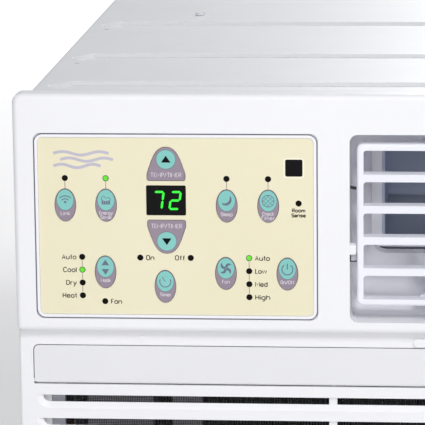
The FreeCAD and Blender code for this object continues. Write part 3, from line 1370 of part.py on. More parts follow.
def pipes():
    """Discharge, suction and capillary lines along their real routes."""
    radius, bend = size("pipe_radius"), size("pipe_bend")
    x, y = size("comp_across"), front + size("comp_back")
    can_top = size("comp_bottom") + size("comp_height")
    rise = can_top + 46
    cond_y = front + size("cond_front") + 8
    side_x = -size("cond_half_width") - 16
    discharge = tube_path([(x, y + 20, can_top + seat), (x, y + 20, rise),
                           (side_x, y + 20, rise), (side_x, cond_y, rise),
                           (side_x, cond_y, rise - 60),
                           (-size("cond_half_width") - seat, cond_y, rise - 60)],
                          radius, bend * 0.6)
    ax, ay = accumulator_place()
    accum_top = size("accum_bottom") + size("accum_height")
    evap_y = front + size("evap_front") + size("evap_depth") / 2
    run_x = -size("evap_half_width") - 14
    suction = tube_path([(ax, ay, accum_top + seat), (ax, ay, accum_top + 62),
                         (ax, y - 104, accum_top + 62), (ax, y - 104, 90),
                         (run_x + 20, y - 104, 90), (run_x + 20, evap_y + 60, 90),
                         (run_x + 2, evap_y, 90)], radius, bend * 0.6)
    return discharge, suction


def capillary():
    """Thin metering line: from the condenser through the bulkhead to the evaporator."""
    thin = size("capillary_radius")
    half = size("cond_half_width")
    cond_y = front + size("cond_front") + 10
    evap_y = front + size("evap_front") + size("evap_depth") / 2
    run_x = -size("evap_half_width") - 8
    return tube_path([(-half - seat, cond_y, 50), (-half - 18, cond_y, 50),
                      (-half - 18, bulkhead_y + 60, 72), (run_x, evap_y + 60, 72),
                      (run_x, evap_y + 13, 60),
                      (-size("evap_half_width") - seat, evap_y + 13, 60)], thin, 6)


def build_refrigeration():
    """Evaporator, condenser, drip tray, compressor, accumulator and lines."""
    place = "(evap_front - unit_depth / 2)"
    node(block("EvaporatorFins", ("-evap_half_width", "evap_half_width"),
               (place, place + " + evap_depth"), ("evap_bottom", "evap_top")),
         "evaporator_fins")
    place = "(cond_front - unit_depth / 2)"
    node(block("CondenserFins", ("-cond_half_width", "cond_half_width"),
               (place, place + " + cond_depth"), ("cond_bottom", "cond_top")),
         "condenser_fins")
    node(shaped("ReturnBends", return_bends()), "coil_return_bends")
    reach = "evap_half_width + 8"
    low = "pan_wall + seat_gap"
    y_low, y_high = "pan_front + pan_wall + 1 - unit_depth / 2", "scroll_front - 2 - unit_depth / 2"
    tray = block("TrayBody", ("-(%s)" % reach, reach), (y_low, y_high),
                 (low, low + " + tray_height"))
    hollow = block("TrayHollow", ("-(%s) + tray_wall" % reach, reach + " - tray_wall"),
                   (y_low + " + tray_wall", y_high + " - tray_wall"),
                   (low + " + tray_wall", low + " + 2 * tray_height"))
    spans = (("left", "-evap_half_width", "-evap_half_width + 20"),
             ("right", "evap_half_width - 20", "evap_half_width"))
    rests = [block("TrayRest" + side, (x_low, x_high),
                   (y_low + " + tray_wall / 2", y_high + " - tray_wall / 2"),
                   (low + " + tray_wall / 2", "evap_bottom - seat_gap"))
             for side, x_low, x_high in spans]
    node(fuse("DrainTray", cut("TrayShell", tray, hollow), *rests), "drain_tray")
    node(shaped("CompressorShell", compressor()), "compressor_shell")
    node(shaped("CompressorGrommets", grommets()), "compressor_grommets")
    node(shaped("Accumulator", accumulator()), "accumulator")
    discharge, suction = pipes()
    node(shaped("DischargePipe", discharge), "discharge_pipe")
    node(shaped("SuctionPipe", suction), "suction_pipe")
    node(shaped("CapillaryTube", capillary()), "capillary_tube")


# ---------------------------------------------------------------- electrics and fasteners

def control_box():
    """Open-fronted sheet box behind the control panel."""
    thin = size("box_sheet")
    x_low, x_high = control_x[0] + 4, control_x[1] - 2
    y_low = skirt_back + seat
    y_high = bulkhead_y - seat
    low, high = size("box_bottom"), size("box_top")
    outer = solid_box(x_low, x_high, y_low, y_high, low, high)
    inner = solid_box(x_low + thin, x_high - thin, y_low - 1, y_high - thin, low + thin,
                      high - thin)
    return outer.cut(inner)


def heater():
    """Sheathed heater rods between two end brackets behind the evaporator."""
    y = front + size("evap_front") + size("evap_depth") + 7
    half = size("heater_half_width")
    count = int(size("heater_rows"))
    middle = (count - 1) / 2
    rods = [cylinder(size("heater_radius"), 2 * half, shaft_x - half, y,
                     shaft_z - 40 + (i - middle) * size("heater_pitch"), (1, 0, 0))
            for i in range(count)]
    reach = size("heater_pitch") * middle + 10
    bracket_back = front + size("scroll_front") - seat
    brackets = [solid_box(shaft_x + side * half - 2, shaft_x + side * half + 2, y - 5,
                          bracket_back, shaft_z - 40 - reach, shaft_z - 40 + reach)
                for side in (-1, 1)]
    return joined(rods + brackets)


def screws():
    """Cover screws in the top and both sides, and the fixing screws of the front panel."""
    head_r, head_high = size("screw_head"), size("screw_head_height")
    radius, length = size("screw_radius"), size("screw_length")

    def screw(x, y, z, inward):
        head = cylinder(head_r, head_high, x, y, z, tuple(-v for v in inward))
        shank = cylinder(radius, length + 1, x - inward[0], y - inward[1], z - inward[2],
                         inward)
        slot_half = 0.5
        away = Vector(*inward) * -head_high
        slot = solid_box(-head_r, head_r, -slot_half, slot_half, -0.6, 0.6)
        if abs(inward[0]) > 0.5:
            slot.rotate(Vector(), Vector(0, 1, 0), 90)
        slot.translate(Vector(x, y, z) + away)
        return joined([head, shank]).cut(slot)

    solids = [screw(x, y, cabinet_top + seat, (0, 0, -1)) for x, y in top_screws()]
    for side in (-1, 1):
        solids.append(screw(side * (cabinet_half + seat), bulkhead_y + 8,
                            size("side_screw_up"), (-side, 0, 0)))
    return Part.makeCompound(solids)


def gland_place():
    """Y and Z of the supply cord's gland in the cabinet's right side."""
    return panel_back + size("gland_behind"), size("pan_height") + size("gland_up")


def build_electrics():
    """Control box, capacitor, heater, cord gland and screws."""
    node(shaped("ControlBox", control_box()), "control_box")
    node(rod("RunCapacitor", "capacitor_radius", "capacitor_height",
             ("control_left - unit_width / 2 + 60", "bulkhead_at - unit_depth / 2 - 60",
              "box_bottom + box_sheet + seat_gap")), "run_capacitor")
    node(shaped("HeaterElement", heater()), "heater_element")
    y, z = gland_place()
    x_out = half_width - size("cabinet_inset")
    barrel = cylinder(size("gland_radius"), size("gland_length"),
                      x_out - size("cabinet_sheet") - 8, y, z, (1, 0, 0))
    flange = cylinder(size("gland_flange"), 2.5, x_out + seat, y, z, (1, 0, 0))
    bore = cylinder(size("gland_bore"), 60, x_out - 30, y, z, (1, 0, 0))
    node(shaped("CordGland", joined([barrel, flange]).cut(bore)), "cord_gland")
    node(shaped("CabinetScrews", screws()), "cabinet_screws")


# ---------------------------------------------------------------- build and write

def check_document():
    """Stop if any object failed or any piece has a bad shape."""
    for item in doc.Objects:
        bad = [state for state in item.State if state in ("Invalid", "Error")]
        if bad:
            raise RuntimeError("%s is %s" % (item.Label, bad))
    for item in NODES:
        shape = item.Shape
        if shape.isNull() or not shape.isValid() or not shape.Solids:
            raise RuntimeError("%s has no valid solid" % item.Label)


def write_parts():
    """Write each piece to its own STEP file."""
    os.makedirs("parts", exist_ok=True)
    for item in NODES:
        item.Shape.exportStep("parts/%s.step" % item.Label)
        box = item.Shape.BoundBox
        print("%-24s %3d solids  X %7.1f %7.1f  Y %7.1f %7.1f  Z %6.1f %6.1f" % (
            item.Label, len(item.Shape.Solids), box.XMin, box.XMax, box.YMin, box.YMax,
            box.ZMin, box.ZMax))


build_front()
build_louvers()
build_controls()
build_air_path()
build_cabinet()
build_refrigeration()
build_electrics()
doc.recompute()
check_document()
write_parts()
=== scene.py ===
"""Window air conditioner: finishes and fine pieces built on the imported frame."""
import json
import logging
import math
from dataclasses import dataclass, field
from enum import Enum
from typing import Iterable, Sequence

import bpy
from mathutils import Matrix, Vector


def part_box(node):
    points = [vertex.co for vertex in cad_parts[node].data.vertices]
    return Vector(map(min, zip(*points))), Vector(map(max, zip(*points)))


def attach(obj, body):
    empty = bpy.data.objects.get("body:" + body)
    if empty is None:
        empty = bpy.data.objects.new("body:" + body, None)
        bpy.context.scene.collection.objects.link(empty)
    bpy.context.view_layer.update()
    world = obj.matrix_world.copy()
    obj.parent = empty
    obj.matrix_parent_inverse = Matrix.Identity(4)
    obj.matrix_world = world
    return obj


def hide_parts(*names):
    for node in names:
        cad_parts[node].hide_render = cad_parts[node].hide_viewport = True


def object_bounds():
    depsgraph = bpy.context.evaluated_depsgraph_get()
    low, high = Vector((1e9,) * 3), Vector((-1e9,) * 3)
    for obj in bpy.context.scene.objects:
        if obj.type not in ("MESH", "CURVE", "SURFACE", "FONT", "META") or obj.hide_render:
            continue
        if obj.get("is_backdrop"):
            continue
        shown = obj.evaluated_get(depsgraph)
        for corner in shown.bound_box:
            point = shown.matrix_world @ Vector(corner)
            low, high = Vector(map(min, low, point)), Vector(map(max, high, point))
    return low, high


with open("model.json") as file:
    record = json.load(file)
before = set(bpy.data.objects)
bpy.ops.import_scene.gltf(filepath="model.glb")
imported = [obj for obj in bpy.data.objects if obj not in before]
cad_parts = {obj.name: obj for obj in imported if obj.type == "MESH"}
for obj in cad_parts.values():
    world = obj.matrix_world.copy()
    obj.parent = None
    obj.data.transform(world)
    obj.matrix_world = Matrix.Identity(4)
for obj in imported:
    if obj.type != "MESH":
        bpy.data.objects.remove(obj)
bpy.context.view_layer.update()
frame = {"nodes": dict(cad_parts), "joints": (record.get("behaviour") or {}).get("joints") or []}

LOG = logging.getLogger("window_air_conditioner")
MM = 0.001
Colour = tuple[float, float, float, float]
Point = Sequence[float]


def swatch(red: float, green: float, blue: float) -> Colour:
    """Turn a colour chip's 0 to 255 steps into a linear colour.

    Args:
        red: Red step of the chip.
        green: Green step of the chip.
        blue: Blue step of the chip.

    Returns:
        The linear colour with full cover.
    """
    def linear(step: float) -> float:
        """Undo the display curve for one channel."""
        value = step / 255.0
        return value / 12.92 if value <= 0.04045 else ((value + 0.055) / 1.055) ** 2.4
    return (linear(red), linear(green), linear(blue), 1.0)


# ------------------------------------------------------------------ shader wiring

class Tree:
    """Adds nodes to one shader tree and joins them up."""

    def __init__(self, tree: bpy.types.NodeTree) -> None:
        """Keep the tree that is being wired."""
        self.tree = tree

    def add(self, kind: str, **settings: object) -> bpy.types.Node:
        """Add a node and set its properties.

        Args:
            kind: Blender's name of the node type, without the ShaderNode prefix.
            settings: Properties of the node to set.

        Returns:
            The new node.
        """
        node = self.tree.nodes.new("ShaderNode" + kind)
        for key, value in settings.items():
            setattr(node, key, value)
        return node

    def join(self, source: bpy.types.NodeSocket, target: bpy.types.NodeSocket) -> None:
        """Link one socket to another."""
        self.tree.links.new(source, target)

    def fill(self, node: bpy.types.Node, **values: object) -> bpy.types.Node:
        """Set or link inputs of a node by name, with _ standing for a space.

        Args:
            node: Node whose inputs are filled.
            values: A socket to link, or a plain value to set, for each input.

        Returns:
            The same node.
        """
        for key, value in values.items():
            socket = node.inputs[key.replace("_", " ")]
            if isinstance(value, bpy.types.NodeSocket):
                self.join(value, socket)
            else:
                socket.default_value = value
        return node

    def math(self, way: str, first: object, second: object = 0.0,
             clamp: bool = False) -> bpy.types.NodeSocket:
        """Combine two values.

        Args:
            way: Blender's name of the operation.
            first: Socket or number.
            second: Socket or number.
            clamp: Whether the result stays between 0 and 1.

        Returns:
            The result's socket.
        """
        node = self.add("Math", operation=way, use_clamp=clamp)
        for index, value in enumerate((first, second)):
            if isinstance(value, bpy.types.NodeSocket):
                self.join(value, node.inputs[index])
            else:
                node.inputs[index].default_value = value
        return node.outputs[0]

    def noise(self, scale: object, detail: float = 3.0, stretch: Point | None = None,
              vector: bpy.types.NodeSocket | None = None) -> bpy.types.NodeSocket:
        """Add a noise in the object's own coordinates.

        Args:
            scale: Socket or number, in cycles a metre.
            detail: Number of finer layers.
            stretch: Scale along each axis, for brushed or streaked patterns.
            vector: Coordinates to use in place of the object's own.

        Returns:
            The noise value's socket.
        """
        where = vector or self.add("TexCoord").outputs["Object"]
        if stretch is not None:
            mapping = self.add("Mapping")
            self.join(where, mapping.inputs["Vector"])
            mapping.inputs["Scale"].default_value = stretch
            where = mapping.outputs[0]
        node = self.add("TexNoise")
        self.fill(node, Vector=where, Scale=scale, Detail=detail)
        return node.outputs[0]

    def blend(self, share: object, first: object, second: object,
              way: str = "MIX") -> bpy.types.NodeSocket:
        """Mix two colours.

        Args:
            share: Socket or number, the part that the second colour takes.
            first: Socket or colour.
            second: Socket or colour.
            way: Blender's name of the blend.

        Returns:
            The mixed colour's socket.
        """
        node = self.add("Mix", data_type="RGBA", blend_type=way)
        for socket, value in zip((node.inputs[0], node.inputs[6], node.inputs[7]),
                                 (share, first, second)):
            if isinstance(value, bpy.types.NodeSocket):
                self.join(value, socket)
            else:
                socket.default_value = value
        return node.outputs[2]

    def ramp(self, value: bpy.types.NodeSocket, low: float, high: float) -> bpy.types.NodeSocket:
        """Stretch a value so that low becomes 0 and high becomes 1, and hold it there."""
        node = self.add("MapRange", clamp=True)
        self.fill(node, Value=value, From_Min=low, From_Max=high)
        return node.outputs[0]


class SocketKind(Enum):
    """Kinds of socket that an effect may have."""

    NUMBER = "NodeSocketFloat"
    COLOUR = "NodeSocketColor"


class Effect:
    """A surface effect kept as one shader node group and placed in each material."""

    title = "Effect"
    takes: dict[str, tuple[SocketKind, object]] = {}
    gives: dict[str, SocketKind] = {}

    @classmethod
    def group(cls) -> bpy.types.NodeTree:
        """Build the effect's node group the first time and return it."""
        known = bpy.data.node_groups.get(cls.title)
        if known is not None:
            return known
        tree = bpy.data.node_groups.new(cls.title, "ShaderNodeTree")
        for name, (kind, value) in cls.takes.items():
            socket = tree.interface.new_socket(name, in_out="INPUT", socket_type=kind.value)
            socket.default_value = value
        for name, kind in cls.gives.items():
            tree.interface.new_socket(name, in_out="OUTPUT", socket_type=kind.value)
        start = tree.nodes.new("NodeGroupInput")
        end = tree.nodes.new("NodeGroupOutput")
        cls.wire(Tree(tree), start.outputs, end.inputs)
        return tree

    @classmethod
    def wire(cls, tree: Tree, taken: bpy.types.NodeOutputs, given: bpy.types.NodeInputs) -> None:
        """Wire the inside of the group; each effect has its own."""
        raise NotImplementedError

    @classmethod
    def place(cls, tree: Tree, **values: object) -> bpy.types.NodeOutputs:
        """Put the effect in a material.

        Args:
            tree: The material's tree.
            values: A socket or a plain value for each input.

        Returns:
            The outputs of the placed group.
        """
        node = tree.add("Group", node_tree=cls.group())
        tree.fill(node, **values)
        return node.outputs


class MouldGrain(Effect):
    """Fine stipple of a moulded or painted skin, with a slow orange-peel swell."""

    title = "Mould grain"
    takes = {"Fine": (SocketKind.NUMBER, 2500.0), "Swell": (SocketKind.NUMBER, 160.0),
             "Swell Share": (SocketKind.NUMBER, 0.3)}
    gives = {"Height": SocketKind.NUMBER, "Speckle": SocketKind.NUMBER}

    @classmethod
    def wire(cls, tree: Tree, taken: bpy.types.NodeOutputs, given: bpy.types.NodeInputs) -> None:
        """Add the stipple to the swell."""
        fine = tree.noise(taken["Fine"], 2.0)
        swell = tree.noise(taken["Swell"], 1.0)
        lifted = tree.math("MULTIPLY", swell, taken["Swell Share"])
        tree.join(tree.math("ADD", fine, lifted), given["Height"])
        tree.join(tree.ramp(fine, 0.35, 0.65), given["Speckle"])


class ColourDrift(Effect):
    """Slow unevenness of colour and gloss over a large skin."""

    title = "Colour drift"
    takes = {"Colour": (SocketKind.COLOUR, (1, 1, 1, 1)),
             "Second": (SocketKind.COLOUR, (0.5, 0.5, 0.5, 1)),
             "Amount": (SocketKind.NUMBER, 0.1), "Scale": (SocketKind.NUMBER, 9.0),
             "Roughness": (SocketKind.NUMBER, 0.4), "Gloss Drift": (SocketKind.NUMBER, 0.08)}
    gives = {"Colour": SocketKind.COLOUR, "Roughness": SocketKind.NUMBER}

    @classmethod
    def wire(cls, tree: Tree, taken: bpy.types.NodeOutputs, given: bpy.types.NodeInputs) -> None:
        """Lean the colour to the second one in soft clouds."""
        cloud = tree.ramp(tree.noise(taken["Scale"], 4.0), 0.3, 0.7)
        share = tree.math("MULTIPLY", cloud, taken["Amount"])
        tree.join(tree.blend(share, taken["Colour"], taken["Second"]), given["Colour"])
        smear = tree.noise(tree.math("MULTIPLY", taken["Scale"], 6.0), 3.0)
        swing = tree.math("MULTIPLY", tree.math("SUBTRACT", smear, 0.5), taken["Gloss Drift"])
        tree.join(tree.math("ADD", taken["Roughness"], swing, True), given["Roughness"])


class SettledDust(Effect):
    """A light film of dust on faces that look up, thicker in patches."""

    title = "Settled dust"
    takes = {"Colour": (SocketKind.COLOUR, (1, 1, 1, 1)),
             "Dust": (SocketKind.COLOUR, swatch(150, 146, 138)),
             "Amount": (SocketKind.NUMBER, 0.1)}
    gives = {"Colour": SocketKind.COLOUR, "Mask": SocketKind.NUMBER}

    @classmethod
    def wire(cls, tree: Tree, taken: bpy.types.NodeOutputs, given: bpy.types.NodeInputs) -> None:
        """Lay the dust by the height part of the surface direction."""
        split = tree.add("SeparateXYZ")
        tree.join(tree.add("NewGeometry").outputs["Normal"], split.inputs[0])
        upward = tree.ramp(split.outputs["Z"], 0.2, 1.0)
        patch = tree.ramp(tree.noise(30.0, 5.0), 0.3, 0.75)
        mask = tree.math("MULTIPLY", tree.math("MULTIPLY", upward, patch), taken["Amount"], True)
        tree.join(mask, given["Mask"])
        tree.join(tree.blend(mask, taken["Colour"], taken["Dust"]), given["Colour"])


class EdgeWearAndHighlight(Effect):
    """Edges tinted towards a second tone: handling wear on dark and metal parts, painted
    highlight where the tone is paler on the white mouldings and the cabinet.
    """

    title = "Edge wear and highlight"
    takes = {"Colour": (SocketKind.COLOUR, (1, 1, 1, 1)),
             "Bare": (SocketKind.COLOUR, (0.8, 0.8, 0.8, 1)),
             "Reach": (SocketKind.NUMBER, 0.0008), "Amount": (SocketKind.NUMBER, 0.4)}
    gives = {"Colour": SocketKind.COLOUR, "Mask": SocketKind.NUMBER}

    @classmethod
    def wire(cls, tree: Tree, taken: bpy.types.NodeOutputs, given: bpy.types.NodeInputs) -> None:
        """Compare the softened surface direction with the true one."""
        soft = tree.add("Bevel", samples=4)
        tree.join(taken["Reach"], soft.inputs["Radius"])
        true = tree.add("NewGeometry")
        product = tree.add("VectorMath", operation="DOT_PRODUCT")
        tree.join(soft.outputs[0], product.inputs[0])
        tree.join(true.outputs["Normal"], product.inputs[1])
        edge = tree.ramp(tree.math("SUBTRACT", 1.0, product.outputs["Value"]), 0.02, 0.25)
        broken = tree.ramp(tree.noise(220.0, 4.0), 0.35, 0.6)
        mask = tree.math("MULTIPLY", tree.math("MULTIPLY", edge, broken), taken["Amount"], True)
        tree.join(mask, given["Mask"])
        tree.join(tree.blend(mask, taken["Colour"], taken["Bare"]), given["Colour"])


class Spangle(Effect):
    """Crystal flakes of hot-dip zinc."""

    title = "Zinc spangle"
    takes = {"Light": (SocketKind.COLOUR, swatch(196, 199, 203)),
             "Dark": (SocketKind.COLOUR, swatch(150, 154, 160)),
             "Flake": (SocketKind.NUMBER, 140.0)}
    gives = {"Colour": SocketKind.COLOUR, "Roughness": SocketKind.NUMBER,
             "Height": SocketKind.NUMBER}

    @classmethod
    def wire(cls, tree: Tree, taken: bpy.types.NodeOutputs, given: bpy.types.NodeInputs) -> None:
        """Give each crystal its own tone and gloss."""
        cells = tree.add("TexVoronoi")
        tree.fill(cells, Vector=tree.add("TexCoord").outputs["Object"], Scale=taken["Flake"])
        tone = tree.add("SeparateColor")
        tree.join(cells.outputs["Color"], tone.inputs[0])
        tree.join(tree.blend(tone.outputs[0], taken["Dark"], taken["Light"]), given["Colour"])
        gloss = tree.math("MULTIPLY", tone.outputs[1], 0.22)
        tree.join(tree.math("ADD", gloss, 0.3), given["Roughness"])
        tree.join(tone.outputs[2], given["Height"])


class Brushing(Effect):
    """Streaks drawn along one axis, as left by rolling, drawing or spinning metal."""

    title = "Drawn streaks"
    takes = {"Colour": (SocketKind.COLOUR, (1, 1, 1, 1)),
             "Streak": (SocketKind.COLOUR, (0.5, 0.5, 0.5, 1)),
             "Across": (SocketKind.NUMBER, 900.0), "Amount": (SocketKind.NUMBER, 0.35)}
    gives = {"Colour": SocketKind.COLOUR, "Height": SocketKind.NUMBER,
             "Roughness": SocketKind.NUMBER}

    @classmethod
    def wire(cls, tree: Tree, taken: bpy.types.NodeOutputs, given: bpy.types.NodeInputs) -> None:
        """Stretch a noise along X and use it for tone, height and gloss."""
        line = tree.noise(taken["Across"], 2.0, stretch=(0.02, 1.0, 1.0))
        stain = tree.ramp(tree.noise(45.0, 4.0), 0.4, 0.7)
        share = tree.math("MULTIPLY", tree.math("ADD", line, stain), taken["Amount"], True)
        tree.join(tree.blend(share, taken["Colour"], taken["Streak"]), given["Colour"])
        tree.join(line, given["Height"])
        rough = tree.math("MULTIPLY", stain, 0.2)
        tree.join(tree.math("ADD", rough, 0.22), given["Roughness"])


# ------------------------------------------------------------------ finishes

@dataclass(frozen=True)
class Finish:
    """A moulded or painted skin; the other finishes start from it."""

    name: str
    colour: Colour
    second: Colour
    drift: float = 0.1
    roughness: float = 0.4
    metallic: float = 0.0
    coat: float = 0.0
    coat_roughness: float = 0.15
    fine: float = 2200.0
    swell: float = 150.0
    bump: float = 0.05
    bump_depth: float = 0.0003
    dust: float = 0.0
    # Edge tint share and tone: handling wear on dark parts, painted edge highlight on the white
    # mouldings and the cabinet.
    edge_wear_and_highlight: float = 0.0
    edge_tone: Colour = (0.8, 0.8, 0.8, 1.0)
    reach: float = 0.0006
    specular: float = 0.5

    def material(self) -> bpy.types.Material:
        """Return the finish's material, made the first time it is asked for."""
        known = bpy.data.materials.get(self.name)
        if known is not None:
            return known
        made = bpy.data.materials.new(self.name)
        made.use_nodes = True
        made.diffuse_color = self.colour
        tree = Tree(made.node_tree)
        shader = made.node_tree.nodes["Principled BSDF"]
        self.wire(tree, shader)
        return made

    def wire(self, tree: Tree, shader: bpy.types.Node) -> None:
        """Wire the skin: drift, edge wear and painted edge highlight, dust and grain.

        Args:
            tree: The material's tree.
            shader: Its Principled BSDF.
        """
        drift = ColourDrift.place(tree, Colour=self.colour, Second=self.second,
                                  Amount=self.drift, Roughness=self.roughness)
        colour = self.aged(tree, drift["Colour"])
        self.plain(tree, shader)
        tree.join(colour, shader.inputs["Base Color"])
        tree.join(drift["Roughness"], shader.inputs["Roughness"])
        grain = MouldGrain.place(tree, Fine=self.fine, Swell=self.swell)
        self.emboss(tree, shader, grain["Height"])

    def aged(self, tree: Tree, colour: bpy.types.NodeSocket) -> bpy.types.NodeSocket:
        """Add edge wear and painted edge highlight, and dust, where the finish has them.

        Args:
            tree: The material's tree.
            colour: The clean colour's socket.

        Returns:
            The aged colour's socket.
        """
        if self.edge_wear_and_highlight > 0:
            colour = EdgeWearAndHighlight.place(tree, Colour=colour, Bare=self.edge_tone, Reach=self.reach,
                                      Amount=self.edge_wear_and_highlight)["Colour"]
        if self.dust > 0:
            colour = SettledDust.place(tree, Colour=colour, Amount=self.dust)["Colour"]
        return colour

    def plain(self, tree: Tree, shader: bpy.types.Node) -> None:
        """Set the shader's even values on its own sockets."""
        tree.fill(shader, Metallic=self.metallic, Coat_Weight=self.coat,
                  Coat_Roughness=self.coat_roughness, Specular_IOR_Level=self.specular)

    def emboss(self, tree: Tree, shader: bpy.types.Node, height: bpy.types.NodeSocket) -> None:
        """Turn a height into the shader's surface direction."""
        relief = tree.add("Bump")
        tree.fill(relief, Height=height, Strength=self.bump, Distance=self.bump_depth)
        tree.join(relief.outputs[0], shader.inputs["Normal"])


@dataclass(frozen=True)
class ZincFinish(Finish):
    """Hot-dip galvanised sheet."""

    flake: float = 140.0

    def wire(self, tree: Tree, shader: bpy.types.Node) -> None:
        """Wire the crystals under a light film of dust."""
        flakes = Spangle.place(tree, Light=self.colour, Dark=self.second, Flake=self.flake)
        self.plain(tree, shader)
        tree.join(self.aged(tree, flakes["Colour"]), shader.inputs["Base Color"])
        tree.join(flakes["Roughness"], shader.inputs["Roughness"])
        self.emboss(tree, shader, flakes["Height"])


@dataclass(frozen=True)
class DrawnFinish(Finish):
    """Drawn tube, rolled foil or spun can."""

    across: float = 900.0

    def wire(self, tree: Tree, shader: bpy.types.Node) -> None:
        """Wire the streaks."""
        streaks = Brushing.place(tree, Colour=self.colour, Streak=self.second,
                                 Across=self.across, Amount=self.drift)
        self.plain(tree, shader)
        tree.join(self.aged(tree, streaks["Colour"]), shader.inputs["Base Color"])
        tree.join(streaks["Roughness"], shader.inputs["Roughness"])
        self.emboss(tree, shader, streaks["Height"])


@dataclass(frozen=True)
class LampFinish(Finish):
    """A lit lens or display bar."""

    strength: float = 1.0

    def wire(self, tree: Tree, shader: bpy.types.Node) -> None:
        """Wire the glow over the coloured lens."""
        super().wire(tree, shader)
        glow = ColourDrift.place(tree, Colour=self.colour, Second=self.second, Amount=0.35,
                                 Scale=260.0)
        tree.join(glow["Colour"], shader.inputs["Emission Color"])
        shader.inputs["Emission Strength"].default_value = self.strength


